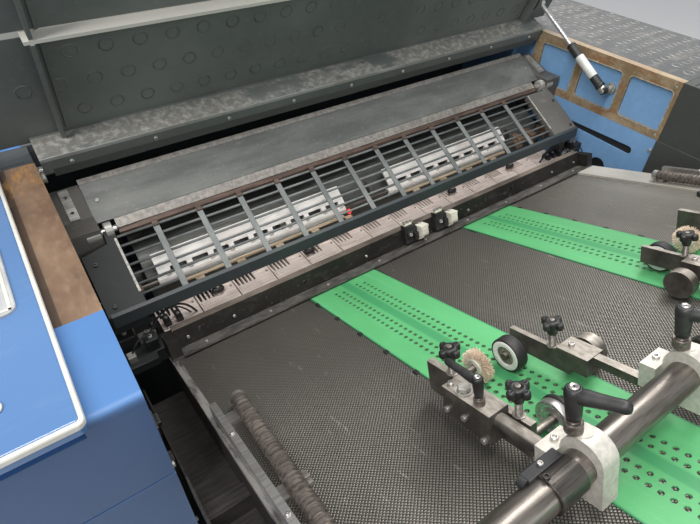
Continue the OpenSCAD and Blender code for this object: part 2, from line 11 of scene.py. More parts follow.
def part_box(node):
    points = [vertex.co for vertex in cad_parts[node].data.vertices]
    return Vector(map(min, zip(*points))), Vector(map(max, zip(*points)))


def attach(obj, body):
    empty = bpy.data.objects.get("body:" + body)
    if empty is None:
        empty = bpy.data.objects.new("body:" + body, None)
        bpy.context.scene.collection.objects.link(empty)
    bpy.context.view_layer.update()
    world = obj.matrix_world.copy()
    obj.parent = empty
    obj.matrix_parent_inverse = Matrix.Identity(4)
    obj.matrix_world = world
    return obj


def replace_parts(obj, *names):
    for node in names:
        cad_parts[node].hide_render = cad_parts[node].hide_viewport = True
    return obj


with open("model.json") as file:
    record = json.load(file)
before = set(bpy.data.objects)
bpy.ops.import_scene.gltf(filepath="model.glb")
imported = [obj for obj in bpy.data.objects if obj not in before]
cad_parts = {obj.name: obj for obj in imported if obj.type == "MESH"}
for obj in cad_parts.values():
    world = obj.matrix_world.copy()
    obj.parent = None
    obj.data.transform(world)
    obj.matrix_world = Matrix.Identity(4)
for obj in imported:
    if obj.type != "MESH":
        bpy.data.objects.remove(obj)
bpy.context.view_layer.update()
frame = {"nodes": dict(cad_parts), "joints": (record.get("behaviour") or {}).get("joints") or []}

MM = 0.001
JOINTS = {joint["name"]: joint for joint in frame["joints"]}
BOARD_HINGE, GRILLE_HINGE, STRUT_FOOT = (
    Vector(JOINTS[name]["pos_m"]) for name in ("footboard_hinge", "grille_hinge", "strut_turn"))
OPENING = math.radians(JOINTS["footboard_hinge"]["range_deg"][1])
TILT = math.radians(20)
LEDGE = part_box("operator_ledge")
# The register line lies below the ledge's top and behind its front end
LINE_Z = LEDGE[1].z - 265 * MM
LINE_Y = LEDGE[0].y + 114 * MM
LEFT_BELT, RIGHT_BELT = (sum(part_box(name), Vector()).x / 2 for name in ("left_belt", "right_belt"))
BELT_SHIFT = (RIGHT_BELT + LEFT_BELT) / 2
BELT_X = (RIGHT_BELT - LEFT_BELT) / 2
# Inner face of the walls and outer face of the housings, in millimetres from the middle
WALL_X = -LEDGE[1].x / MM
HOUSING_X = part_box("drive_housing")[1].x / MM
# Cross shaft: up the table's slope and off its surface, in millimetres
SHAFT_UP = 643
SHAFT_OFF = 72
# Register plates: how many, and their spacing in millimetres
PLATES = 14
PLATE_PITCH = 82


def line_point(x, y, z):
    """A point given in millimetres from the register line."""
    return Vector((x * MM, LINE_Y + y * MM, LINE_Z + z * MM))


def leaning(point, angle):
    """A matrix at a point, turned about X."""
    return Matrix.Translation(point) @ Matrix.Rotation(angle, 4, "X")


def crosswise(point, angle=math.pi / 2):
    """A matrix at a point whose Z looks across the press."""
    return Matrix.Translation(point) @ Matrix.Rotation(angle, 4, "Y")


TABLE = leaning(line_point(0, 0, 0), -TILT)
# The open footboard: Y runs back to its hinge, Z is off its worn side
BOARD = leaning(BOARD_HINGE, -OPENING)
AT_LINE = Matrix.Translation(line_point(0, 0, 0))
# Draws a profile given in Y and Z, and extrudes it along X
PROFILE = AT_LINE @ Matrix(((0, 0, 1, 0), (1, 0, 0, 0), (0, 1, 0, 0), (0, 0, 0, 1)))
UPWARD = Vector((0, 0, 1))
TABLE_NORMAL = TABLE.to_3x3() @ UPWARD
DOWNHILL = TABLE.to_3x3() @ Vector((0, 1, 0))


def table_point(x, up, height):
    """A point in millimetres: across the table, up its slope and off its surface."""
    return TABLE @ Vector((x * MM, -up * MM, height * MM))


class Value:
    """A node's output whose operators add Math nodes to its finish."""

    def __init__(self, finish, socket):
        self.finish = finish
        self.socket = socket

    def math(self, operation, other=None, first=None):
        sockets = {0: first if first is not None else self}
        if other is not None:
            sockets[1] = other
        return self.finish.node("ShaderNodeMath", {"operation": operation}, sockets)

    def __add__(self, other):
        return self.math("ADD", other)

    def __radd__(self, other):
        return self.math("ADD", self, other)

    def __sub__(self, other):
        return self.math("SUBTRACT", other)

    def __rsub__(self, other):
        return self.math("SUBTRACT", self, other)

    def __mul__(self, other):
        return self.math("MULTIPLY", other)

    def __rmul__(self, other):
        return self.math("MULTIPLY", self, other)

    def sin(self):
        return self.math("SINE")

    def abs(self):
        return self.math("ABSOLUTE")

    def least(self, other):
        return self.math("MINIMUM", other)

    def most(self, other):
        return self.math("MAXIMUM", other)

    def rise(self, low, high):
        """0 below low, 1 above high, smooth between; low may be the larger."""
        if low > high:
            return 1 - self.rise(high, low)
        return self.finish.node(
            "ShaderNodeMapRange", {"interpolation_type": "SMOOTHSTEP"}, {0: self, 1: low, 2: high})

    def near(self, centre, half, soft):
        """1 within half of the centre, falling to 0 over soft."""
        return (self - centre).abs().rise(half + soft, half)


class Finish:
    """One material, built from its object coordinates in metres."""

    def __init__(self, name):
        self.material = bpy.data.materials.new(name)
        self.material.use_nodes = True
        self.tree = self.material.node_tree
        self.shader = self.tree.nodes["Principled BSDF"]
        self.place = self.node("ShaderNodeTexCoord", out="Object")
        self.x, self.y, self.z = (
            self.node("ShaderNodeSeparateXYZ", {}, {0: self.place}, axis) for axis in "XYZ")

    def node(self, kind, settings=None, sockets=None, out=0):
        made = self.tree.nodes.new(kind)
        for key, value in (settings or {}).items():
            setattr(made, key, value)
        for key, value in (sockets or {}).items():
            self.plug(made.inputs[key], value)
        return Value(self, made.outputs[out])

    def plug(self, socket, value):
        if isinstance(value, Value):
            self.tree.links.new(value.socket, socket)
        else:
            socket.default_value = value

    def mix(self, factor, low, high, mode="MIX"):
        return self.node("ShaderNodeMix", {"data_type": "RGBA", "blend_type": mode},
                         {0: factor, 6: colour(low), 7: colour(high)}, 2)

    def noise(self, scale, detail=3.0, stretch=(1, 1, 1), rough=0.55):
        at = self.node("ShaderNodeVectorMath", {"operation": "MULTIPLY"}, {0: self.place, 1: stretch})
        return self.node("ShaderNodeTexNoise", {},
                         {"Vector": at, "Scale": scale, "Detail": detail, "Roughness": rough})

    def along_table(self):
        """Distance up the table's slope from the register line."""
        return (LINE_Y - self.y) * math.cos(TILT) + (self.z - LINE_Z) * math.sin(TILT)

    def off_table(self):
        """Distance off the table's surface."""
        return (self.y - LINE_Y) * math.sin(TILT) + (self.z - LINE_Z) * math.cos(TILT)

    def upward(self, tilt=0.0):
        """1 on faces that look up off a plane tilted about X, 0 on its sides."""
        normal = self.node("ShaderNodeNewGeometry", out="Normal")
        up = self.node("ShaderNodeVectorMath", {"operation": "DOT_PRODUCT"},
                       {0: normal, 1: (0, math.sin(tilt), math.cos(tilt))}, "Value")
        return up.rise(0.55, 0.85)

    def surface(self, paint, rough, metal=0.0, bump=None, depth=0.001, strength=0.5, coat=0.0):
        self.plug(self.shader.inputs["Base Color"], colour(paint))
        self.plug(self.shader.inputs["Roughness"], rough)
        self.plug(self.shader.inputs["Metallic"], metal)
        self.shader.inputs["Coat Weight"].default_value = coat
        if bump is not None:
            made = self.node("ShaderNodeBump", {},
                             {"Height": bump, "Strength": strength, "Distance": depth})
            self.plug(self.shader.inputs["Normal"], made)
        return self.material


def colour(value):
    """Three numbers get a fourth for opacity; an output of a node stays as it is."""
    if isinstance(value, tuple) and len(value) == 3:
        return (*value, 1.0)
    return value


def enamel(name, paint, rough=0.42, chips=0.7, metal_tone=(0.32, 0.31, 0.30), dirt=0.35, peel=0.3):
    """Shop enamel: uneven gloss, grime in clouds, scratches and chips down to metal."""
    f = Finish(name)
    clouds = f.noise(3.5, 5)
    fine = f.noise(70, 4)
    scratch = f.noise(28, 6, (0.25, 1.6, 1.6), 0.7).rise(0.66, 0.72)
    chip = (f.noise(22, 9, rough=0.72) * 0.75 + fine * 0.25).rise(chips, chips + 0.02)
    body = f.mix(clouds.rise(0.35, 0.7) * dirt, paint, tuple(c * 0.55 for c in paint))
    body = f.mix(fine.rise(0.45, 0.75) * 0.25, body, tuple(min(1, c * 1.25 + 0.01) for c in paint))
    body = f.mix(scratch * 0.4, body, tuple(min(1, c * 1.5 + 0.04) for c in paint))
    body = f.mix(chip, body, metal_tone)
    return f.surface(body, rough + clouds * 0.22 - scratch * 0.08 - 0.08, chip * 0.7,
                     f.noise(260, 2) * peel - chip * 0.8, 0.0004, 0.35)


def nose_enamel():
    """Blue cover: one blue paint, painted lighter on its top and darker on the face that looks to the feeder,
    as painted light and shade.
    """
    f = Finish("nose_enamel")
    clouds = f.noise(3.2, 5)
    fine = f.noise(80, 4)
    scratch = f.noise(26, 6, (0.3, 1.6, 1.6), 0.7).rise(0.67, 0.73)
    # Painted light and shade: faces that look up get the lighter blue, faces turned to the feeder the darker
    # blue.
    tone = f.mix(f.upward(), (0.036, 0.085, 0.195), (0.072, 0.178, 0.395))
    body = f.mix(clouds.rise(0.35, 0.7) * 0.25, tone, (0.03, 0.075, 0.16))
    body = f.mix(scratch * 0.3, body, (0.20, 0.30, 0.46))
    return f.surface(body, 0.36 + clouds * 0.2, 0.0, fine * 0.3 - scratch * 0.4, 0.0003, 0.35)


def lid_moulding():
    """Smooth blue lid with wiped smears."""
    f = Finish("lid_moulding")
    clouds = f.noise(4, 4)
    smear = f.noise(14, 5, (0.4, 1.3, 1), 0.6).rise(0.5, 0.75)
    body = f.mix(clouds.rise(0.3, 0.75) * 0.5, (0.074, 0.165, 0.345), (0.102, 0.205, 0.415))
    body = f.mix(smear * 0.18, body, (0.25, 0.34, 0.48))
    return f.surface(body, 0.26 + smear * 0.18, 0.0, f.noise(420, 2), 0.0002, 0.25, 0.3)


def tan_primer():
    """Bare ledge paint: brown primer, oily smears, rust towards the hinge end, and a painted shadow of the
    lid along its outer side.
    """
    f = Finish("tan_primer")
    clouds = f.noise(6, 6, rough=0.6)
    grain = f.noise(90, 5, (1, 0.5, 1))
    drip = f.noise(20, 7, (1.4, 0.5, 1), 0.7)
    body = f.mix(clouds.rise(0.3, 0.72), (0.130, 0.078, 0.048), (0.262, 0.172, 0.11))
    body = f.mix(grain.rise(0.45, 0.8) * 0.4, body, (0.31, 0.215, 0.145))
    # Painted shadow: the ledge's outer side, under the lid's edge, is darkened as the lid's cast shadow.
    painted_lid_shadow = f.x.rise(-0.7028, -0.7042)
    body = f.mix(painted_lid_shadow * 0.8, body, (0.040, 0.026, 0.018))
    hinge_end = f.y.rise(LINE_Y + 0.12, LINE_Y + 0.25)
    rust = drip.rise(0.47, 0.6) * hinge_end
    body = f.mix(rust * 0.85, body, (0.42, 0.215, 0.06))
    body = f.mix(drip.rise(0.62, 0.68) * 0.5, body, (0.07, 0.05, 0.035))
    return f.surface(body, 0.5 + grain * 0.2 - clouds * 0.12, 0.0, grain + rust * 0.6, 0.0006, 0.5)


def window_primer():
    """Window frame: golden tan, rubbed pale in patches, with rust streaks, and its upward faces painted a
    lighter tan as painted light.
    """
    f = Finish("window_primer")
    clouds = f.noise(9, 6, rough=0.65)
    streak = f.noise(24, 7, (1, 0.5, 1.4), 0.7)
    fine = f.noise(120, 4)
    body = f.mix(clouds.rise(0.35, 0.68), (0.22, 0.15, 0.082), (0.40, 0.305, 0.195))
    body = f.mix(streak.rise(0.50, 0.62) * 0.75, body, (0.24, 0.105, 0.038))
    body = f.mix(fine.rise(0.5, 0.75) * 0.4, body, (0.52, 0.44, 0.32))
    body = f.mix(streak.rise(0.36, 0.28) * 0.6, body, (0.60, 0.54, 0.42))
    # Painted light: upward faces are pulled to a lighter tan for the light they catch.
    body = f.mix(f.upward() * 0.5, body, (0.33, 0.265, 0.18))
    return f.surface(body, 0.5 + clouds * 0.15, 0.0, fine + streak * 0.5, 0.0004, 0.45)


def tread_enamel(name, paint, wear=0.5):
    """Dark tread plate, scuffed by shoes down to metal."""
    f = Finish(name)
    clouds = f.noise(4, 5)
    scuff = f.noise(40, 7, (1, 0.6, 1), 0.7)
    streak = f.noise(22, 6, (0.4, 1.2, 2), 0.65)
    body = f.mix(clouds.rise(0.35, 0.7) * 0.6, paint, tuple(c * 1.6 for c in paint))
    body = f.mix(streak.rise(0.50, 0.66) * 0.5, body, (0.195, 0.182, 0.168))
    worn = scuff.rise(0.56, 0.68) * wear
    body = f.mix(worn * 0.6, body, (0.28, 0.262, 0.245))
    return f.surface(body, 0.42 + clouds * 0.2 - worn * 0.12, worn * 0.6, scuff + streak * 0.4, 0.0006, 0.6)


def ring_enamel(name, paint, rub_and_painted_highlight, amount):
    """Crowns of the pressed rings, brighter than the plate: rubbed wear and painted highlight."""
    f = Finish(name)
    rub = f.noise(30, 6, rough=0.7)
    grain = f.noise(240, 3)
    # Rubbed wear and painted highlight: the crowns are pulled towards a brighter tone in noisy patches.
    body = f.mix(rub.rise(0.38, 0.58) * amount, paint, rub_and_painted_highlight)
    return f.surface(body, 0.34 + rub * 0.2, rub.rise(0.42, 0.6) * 0.5, grain, 0.0002, 0.4)


def footboard_enamel():
    """The footboard: slate plate, bare worn flange and light rib edge."""
    f = Finish("footboard_enamel")
    lean = math.pi / 2 - OPENING
    up = (f.z - BOARD_HINGE.z) * math.cos(lean) + (BOARD_HINGE.y - f.y) * math.sin(lean)
    out = (BOARD_HINGE.y - f.y) * math.cos(lean) - (f.z - BOARD_HINGE.z) * math.sin(lean)
    clouds = f.noise(4, 5)
    fine = f.noise(90, 5)
    scuff = f.noise(34, 8, (0.5, 1.4, 1.4), 0.72)
    body = f.mix(clouds.rise(0.3, 0.7), (0.084, 0.096, 0.089), (0.137, 0.150, 0.139))
    body = f.mix(fine.rise(0.5, 0.75) * 0.3, body, (0.15, 0.16, 0.155))
    flange = up.near(0.0515, 0.0035, 0.002) * out.near(0.0, 0.024, 0.003)
    rib = up.near(0.253, 0.0045, 0.001) * out.near(-0.019, 0.011, 0.002)
    patches = f.noise(13, 9, (0.5, 1, 1), 0.75)
    bare = flange * patches.rise(0.40, 0.56)
    body = f.mix(bare, body, f.mix(fine.rise(0.4, 0.7), (0.34, 0.33, 0.30), (0.62, 0.61, 0.56)))
    front_edge = flange * out.rise(0.021, 0.0235)
    body = f.mix(front_edge * 0.8, body, (0.42, 0.42, 0.40))
    body = f.mix(rib * 0.9, body, (0.62, 0.60, 0.54))
    chip = scuff.rise(0.70, 0.73)
    body = f.mix(chip * 0.7, body, (0.30, 0.29, 0.27))
    bright = bare.most(chip * 0.6)
    return f.surface(body, 0.42 + clouds * 0.16 + bare * 0.05, bright * 0.75,
                     patches * 0.5 * flange + fine * 0.2, 0.0006, 0.6)


def worn_hood():
    """Grey plate, smudged and rubbed bare in clouds."""
    f = Finish("worn_hood")
    streak = f.noise(14, 7, (0.35, 1.6, 1.6), 0.66)
    blot = f.noise(6, 8, (0.7, 1.3, 1.3), 0.62)
    fine = f.noise(140, 4)
    body = f.mix(streak.rise(0.35, 0.68), (0.112, 0.117, 0.110), (0.178, 0.183, 0.170))
    body = f.mix(blot.rise(0.52, 0.70) * 0.5, body, (0.32, 0.325, 0.31))
    body = f.mix(blot.rise(0.42, 0.30) * 0.4, body, (0.09, 0.094, 0.092))
    body = f.mix(fine.rise(0.55, 0.75) * 0.2, body, (0.38, 0.375, 0.35))
    return f.surface(body, 0.42 + blot * 0.2, 0.3, streak + blot * 0.6, 0.0004, 0.4)


def grille_enamel():
    """Grille: mid-grey enamel on bars and rods, rubbed paler in patches."""
    f = Finish("grille_enamel")
    rub = f.noise(18, 7, (1, 0.7, 0.7), 0.7)
    fine = f.noise(110, 4)
    body = f.mix(rub.rise(0.36, 0.64), (0.115, 0.126, 0.125), (0.195, 0.208, 0.202))
    body = f.mix(rub.rise(0.66, 0.70) * 0.6, body, (0.38, 0.375, 0.35))
    body = f.mix(fine.rise(0.6, 0.75) * 0.3, body, (0.30, 0.30, 0.29))
    return f.surface(body, 0.40 + rub * 0.18, 0.15, fine + rub * 0.4, 0.0004, 0.4)


def rail_steel():
    """Front rail: oiled brown face, pale worn flanges above and below."""
    f = Finish("rail_steel")
    height = f.off_table()
    up = f.along_table()
    film = f.noise(7, 6, rough=0.6)
    grain = f.noise(60, 6, (0.5, 1.2, 1.2), 0.68)
    spots = f.noise(150, 4).rise(0.62, 0.7)
    body = f.mix(film.rise(0.35, 0.68), (0.010, 0.0088, 0.0072), (0.029, 0.025, 0.021))
    body = f.mix(grain.rise(0.5, 0.72) * 0.45, body, (0.075, 0.067, 0.058))
    low_flange = height.rise(0.0078, 0.0068) * up.rise(0.0, 0.002)
    top_flange = height.rise(0.0440, 0.0447)
    low_tone = f.mix(grain.rise(0.35, 0.65), (0.060, 0.057, 0.051), (0.165, 0.157, 0.142))
    top_tone = f.mix(film.rise(0.4, 0.65), (0.12, 0.098, 0.082), (0.30, 0.25, 0.21))
    body = f.mix(low_flange * 0.92, body, low_tone)
    body = f.mix(top_flange * 0.9, body, top_tone)
    body = f.mix(spots * 0.35, body, (0.20, 0.19, 0.18))
    return f.surface(body, 0.44 + film * 0.16, 0.3, grain + spots * 0.5, 0.0004, 0.4)


def gripper_steel():
    """Slotted bar and round bar, polished and a little brown."""
    f = Finish("gripper_steel")
    lay = f.noise(90, 5, (0.2, 2, 2), 0.6)
    film = f.noise(10, 5, rough=0.6)
    body = f.mix(lay.rise(0.3, 0.7), (0.78, 0.74, 0.70), (0.95, 0.92, 0.87))
    body = f.mix(film.rise(0.55, 0.7) * 0.35, body, (0.62, 0.50, 0.43))
    return f.surface(body, 0.34 + film * 0.2, 0.1, lay, 0.0003, 0.35)


def table_mesh():
    """Dark steel sheet embossed with a fine diamond mesh, polished where sheets run; painted shade in its
    grooves, painted highlights and sheen.
    """
    f = Finish("table_mesh")
    up = f.along_table()
    pitch = 0.0052
    one = ((f.x + up) * (math.pi / pitch)).sin().abs()
    two = ((f.x - up) * (math.pi / pitch)).sin().abs()
    dimple = one.least(two)
    light_strip, left_fold = 0.522, -0.576
    strip = f.x.rise(light_strip - 0.0005, light_strip + 0.0005)
    seen = 1 - strip
    clouds = f.noise(3.2, 5, (1, 0.5, 0.5))
    painted_sheen = f.noise(5, 4, (1.4, 0.35, 0.35), 0.5)
    rub = f.noise(60, 6, (2, 0.3, 0.3), 0.65)
    # Painted shade and highlight: dark in the mesh's grooves, pale on its crowns.
    body = f.mix(dimple.rise(0.16, 0.46), (0.013, 0.0117, 0.010), (0.205, 0.192, 0.168))
    body = f.mix(clouds.rise(0.35, 0.68) * 0.5, body, (0.050, 0.045, 0.041))
    # Painted sheen: broad pale streaks for the lamps' reflection.
    body = f.mix(painted_sheen.rise(0.50, 0.70) * 0.22, body, (0.31, 0.30, 0.265))
    body = f.mix(rub.rise(0.62, 0.72) * 0.4, body, (0.42, 0.41, 0.39))
    strip_wear = f.mix(clouds.rise(0.4, 0.6), (0.42, 0.395, 0.345), (0.64, 0.61, 0.545))
    body = f.mix(strip * 0.9, body, strip_wear)
    fold = f.x.rise(left_fold + 0.0005, left_fold - 0.0005)
    body = f.mix(fold * 0.8, body, f.mix(rub.rise(0.35, 0.6), (0.10, 0.095, 0.09), (0.52, 0.50, 0.47)))
    return f.surface(body, 0.38 + clouds * 0.16 - painted_sheen * 0.12, 0.6 - strip * 0.5,
                     dimple * seen * (1 - fold), 0.0009, 0.75)


def belt_weave():
    """Green belt: fine weave, darker bands along the grooves beside the hole rows, soiled edges."""
    f = Finish("belt_weave")
    up = f.along_table()
    off = (f.x - BELT_SHIFT).abs() - BELT_X
    threads_across = 3100
    weave = ((f.x * threads_across).sin() * (up * threads_across).sin()) * 0.5 + 0.5
    clouds = f.noise(5, 5, (1, 0.35, 0.35))
    drag = f.noise(45, 6, (2.2, 0.12, 0.12), 0.65)
    body = f.mix(clouds.rise(0.32, 0.7), (0.072, 0.305, 0.110), (0.108, 0.440, 0.168))
    body = f.mix(weave.rise(0.3, 0.9) * 0.22, body, (0.125, 0.53, 0.225))
    body = f.mix(drag.rise(0.5, 0.72) * 0.3, body, (0.15, 0.48, 0.225))
    groove = off.abs().near(0.0, 0.006, 0.005)
    body = f.mix(groove * 0.55, body, (0.018, 0.19, 0.078))
    rim = off.abs().rise(0.0745, 0.0775)
    body = f.mix(rim * 0.7, body, (0.018, 0.15, 0.07))
    return f.surface(body, 0.44 + clouds * 0.12, 0.0, weave * 0.5 + drag * 0.6 - groove * 0.8,
                     0.0004, 0.5)


def machined_steel(name, low, high, rough=0.3, grain=(0.15, 2, 2), oil=0.3, metal=0.9):
    """Ground or turned steel: fine lay, oil film in clouds, small dark pits."""
    f = Finish(name)
    lay = f.noise(120, 5, grain, 0.6)
    film = f.noise(8, 6, rough=0.62)
    pit = f.noise(75, 6, rough=0.7).rise(0.66, 0.72)
    body = f.mix(lay.rise(0.3, 0.7), low, high)
    body = f.mix(film.rise(0.45, 0.68) * oil, body, tuple(c * 0.4 for c in low))
    body = f.mix(pit * 0.5, body, tuple(c * 0.3 for c in low))
    return f.surface(body, rough + film * 0.25 - 0.08, metal, lay + pit * 0.5, 0.0003, 0.35)


def arm_steel():
    """Ground arms and blocks: tops painted light and sides painted in shade, with oil film in clouds."""
    f = Finish("arm_block_steel")
    lay = f.noise(120, 5, (1.6, 0.2, 1.6), 0.6)
    film = f.noise(20, 6, rough=0.65)
    # Painted light and shade: top is the painted light of upward faces, side the painted shade of the sides.
    top = f.mix(lay.rise(0.3, 0.7), (0.25, 0.222, 0.19), (0.43, 0.39, 0.34))
    side = f.mix(film.rise(0.35, 0.65), (0.050, 0.044, 0.039), (0.125, 0.110, 0.096))
    body = f.mix(f.upward(TILT), side, top)
    body = f.mix(film.rise(0.58, 0.70) * 0.5, body, (0.07, 0.058, 0.048))
    return f.surface(body, 0.34 + film * 0.2, 0.45, lay + film * 0.5, 0.0004, 0.4)


def clamp_casting():
    """Pale cast clamps with a thin oil film."""
    f = Finish("clamp_casting")
    grain = f.noise(180, 4)
    film = f.noise(14, 6, rough=0.6)
    body = f.mix(grain.rise(0.35, 0.7), (0.50, 0.472, 0.42), (0.61, 0.582, 0.525))
    body = f.mix(film.rise(0.52, 0.66) * 0.45, body, (0.33, 0.31, 0.27))
    return f.surface(body, 0.42 + film * 0.15, 0.25, grain, 0.0004, 0.4)


def moulded(name, low, high, rough=0.45, coat=0.0):
    """Moulded plastic with a faint texture and handling marks."""
    f = Finish(name)
    grain = f.noise(520, 3)
    marks = f.noise(26, 6, rough=0.65)
    body = f.mix(marks.rise(0.4, 0.72), low, high)
    return f.surface(body, rough + marks * 0.14, 0.0, grain, 0.0003, 0.35, coat)


def tyre_rubber():
    """Black rubber with paper dust on it."""
    f = Finish("tyre_rubber")
    grain = f.noise(300, 4)
    dust = f.noise(40, 6, rough=0.65)
    body = f.mix(dust.rise(0.45, 0.7) * 0.5, (0.014, 0.014, 0.014), (0.07, 0.065, 0.06))
    return f.surface(body, 0.55 + dust * 0.15, 0.0, grain, 0.0004, 0.5)


def bristle_fibre():
    """Natural bristles in uneven tones."""
    f = Finish("bristle_fibre")
    fibre = f.noise(400, 4)
    tone = f.noise(60, 3)
    body = f.mix(fibre.rise(0.3, 0.7), (0.66, 0.50, 0.37), (0.95, 0.83, 0.68))
    body = f.mix(tone.rise(0.5, 0.7) * 0.4, body, (0.55, 0.40, 0.29))
    return f.surface(body, 0.7, 0.0, fibre, 0.0005, 0.5)


def lit_lamp():
    """The small red lamp that is on."""
    f = Finish("lit_lamp")
    glow = f.noise(300, 2)
    body = f.mix(glow, (0.7, 0.02, 0.02), (0.9, 0.06, 0.04))
    f.shader.inputs["Emission Strength"].default_value = 1.2
    f.plug(f.shader.inputs["Emission Color"], body)
    return f.surface(body, 0.3)


BLUE = (0.055, 0.165, 0.40)
SLATE = (0.040, 0.047, 0.050)

FINISHES = {
    "blue": enamel("blue_enamel", BLUE),
    # Painted shade: a darker copy of the blue for faces turned away from the lamps.
    "blue_painted_shade": enamel("blue_painted_shade_enamel", (0.035, 0.11, 0.27), 0.4),
    "blue_pale": enamel("pale_blue_enamel", (0.215, 0.41, 0.70), 0.42),
    "rust": machined_steel("rusty_rail", (0.055, 0.036, 0.028), (0.15, 0.10, 0.078), 0.5, oil=0.3, metal=0.3),
    "slate": enamel("slate_enamel", SLATE, 0.44, 0.66, (0.34, 0.33, 0.31), 0.5),
    "cover_slate": enamel("cover_slate_enamel", (0.060, 0.064, 0.060), 0.46, 0.70, (0.24, 0.235, 0.22)),
    "deep_slate": enamel("deep_slate_enamel", (0.011, 0.013, 0.0135), 0.58, 0.74, (0.16, 0.155, 0.14), 0.12),
    "beam_slate": enamel("beam_slate_enamel", (0.036, 0.046, 0.050), 0.44, 0.66, (0.20, 0.20, 0.19)),
    "black": enamel("black_enamel", (0.018, 0.019, 0.020), 0.46, 0.69, (0.22, 0.22, 0.21)),
    "lid": lid_moulding(),
    "tan": tan_primer(),
    "tread": tread_enamel("tread_enamel", (0.062, 0.066, 0.067), wear=0.9),
    # Ring crowns: the brighter tone is rubbed wear and painted highlight.
    "tread_ring": ring_enamel("tread_ring", (0.088, 0.084, 0.080), (0.23, 0.217, 0.20), 0.8),
    "board_ring": ring_enamel("board_ring", (0.050, 0.058, 0.056), (0.16, 0.17, 0.165), 0.7),
    "grille": grille_enamel(),
    "gripper": gripper_steel(),
    "golden": machined_steel("golden_strip", (0.34, 0.25, 0.155), (0.74, 0.62, 0.47), 0.34, oil=0.3,
                             metal=0.2),
    "footboard": footboard_enamel(),
    "hood": worn_hood(),
    "table": table_mesh(),
    "belt": belt_weave(),
    "bright": machined_steel("bright_steel", (0.50, 0.48, 0.46), (0.72, 0.70, 0.67)),
    "collar": machined_steel("collar_steel", (0.050, 0.045, 0.041), (0.105, 0.094, 0.084), 0.34, oil=0.4,
                             metal=0.7),
    "dark": machined_steel("oiled_steel", (0.085, 0.078, 0.072), (0.17, 0.155, 0.14), 0.36, oil=0.5),
    "gutter": machined_steel("gutter_steel", (0.022, 0.020, 0.018), (0.050, 0.045, 0.041), 0.5, oil=0.5,
                             metal=0.3),
    "rail": rail_steel(),
    "shaft": machined_steel("shaft_steel", (0.13, 0.115, 0.10), (0.25, 0.225, 0.20), 0.3, oil=0.4, metal=0.8),
    # Partly painted light: the comb plates' pale pink tone is raised to stand in for the strong light on
    # them.
    "comb": machined_steel("comb_steel_painted_light", (0.74, 0.61, 0.55), (0.95, 0.85, 0.78), 0.40, oil=0.18, metal=0.1),
    "arm": machined_steel("arm_steel", (0.20, 0.178, 0.158), (0.36, 0.325, 0.29), 0.36, oil=0.4, metal=0.6),
    "rod": machined_steel("rod_steel", (0.085, 0.072, 0.064), (0.24, 0.205, 0.18), 0.38, oil=0.3, metal=0.55),
    "drum": machined_steel("drum_steel", (0.080, 0.083, 0.076), (0.15, 0.153, 0.14), 0.36, oil=0.4,
                           metal=0.4),
    "arm_block": arm_steel(),
    "bracket": tread_enamel("worn_bracket", (0.092, 0.087, 0.077), wear=1.0),
    "window": window_primer(),
    # Painted highlight: a pale tone on the windows' bevelled rims for the light they catch.
    "rim": machined_steel("rim_painted_highlight", (0.24, 0.195, 0.135), (0.50, 0.44, 0.34), 0.5, grain=(1, 1, 1),
                          oil=0.3, metal=0.0),
    "nose": nose_enamel(),
    "clamp": clamp_casting(),
    "knuckle": machined_steel("knuckle_steel", (0.30, 0.295, 0.27), (0.56, 0.55, 0.50), 0.45, oil=0.45,
                              metal=0.5),
    "strip": machined_steel("strip_steel", (0.20, 0.186, 0.168), (0.34, 0.318, 0.286), 0.45, grain=(1, 1, 1),
                            oil=0.3, metal=0.3),
    "ring_face": moulded("ring_face_plastic", (0.62, 0.62, 0.58), (0.80, 0.80, 0.76), 0.4),
    "sleeve": moulded("strut_sleeve", (0.58, 0.58, 0.56), (0.78, 0.78, 0.76), 0.35),
    "trim": moulded("trim_plastic", (0.54, 0.53, 0.48), (0.66, 0.65, 0.60), 0.4),
    "panel": moulded("panel_plastic", (0.36, 0.37, 0.37), (0.46, 0.47, 0.46), 0.42),
    "grip": moulded("grip_plastic", (0.010, 0.010, 0.010), (0.034, 0.032, 0.031), 0.42, 0.05),
    "cream": moulded("cream_plastic", (0.60, 0.57, 0.47), (0.74, 0.71, 0.61), 0.4),
    "rubber": tyre_rubber(),
    "bristle": bristle_fibre(),
    "chrome": machined_steel("chrome_rod", (0.60, 0.60, 0.60), (0.72, 0.72, 0.72), 0.26, oil=0.05, metal=0.7),
    "lamp": lit_lamp(),
}

NODE_FINISH = {
    "operator_side_frame": "blue", "drive_side_frame": "blue_pale", "operator_liner": "slate",
    "operator_ledge": "tan", "operator_nose_cover": "nose", "operator_lower_cover": "nose",
    "operator_housing": "nose", "console_lid": "lid", "console_trim": "trim",
    "console_panel": "panel", "drive_window_frame": "window", "drive_lower_panel": "blue_pale",
    "drive_tread_plate": "tread", "drive_nose_cover": "cover_slate", "drive_housing": "blue_painted_shade",
    "rear_deck": "tread", "rear_bulkhead": "slate", "base_beams": "dark", "drip_tray": "black",
    "table_sheet": "table", "table_side_rails": "gutter", "suction_boxes": "black",
    "belt_rollers": "bright", "left_belt": "belt", "right_belt": "belt", "table_stand": "slate",
    "front_rail": "rail", "sheet_sensors": "cream", "feed_drum": "drum", "hood_plate": "hood",
    "hood_brackets": "bracket", "pivot_pins": "bright", "side_guides": "bright", "ridged_rods": "rod",
    "cross_shaft": "shaft", "shaft_clamps": "clamp", "wheel_arms": "arm_block",
    "footboard": "footboard", "strut_cylinder": "black", "strut_rod": "chrome",
}


def dress_nodes():
    """Gives each node of the solids its finish."""
    for name, node in frame["nodes"].items():
        for slot in node.material_slots:
            slot.material = FINISHES[NODE_FINISH.get(name, "bright")]


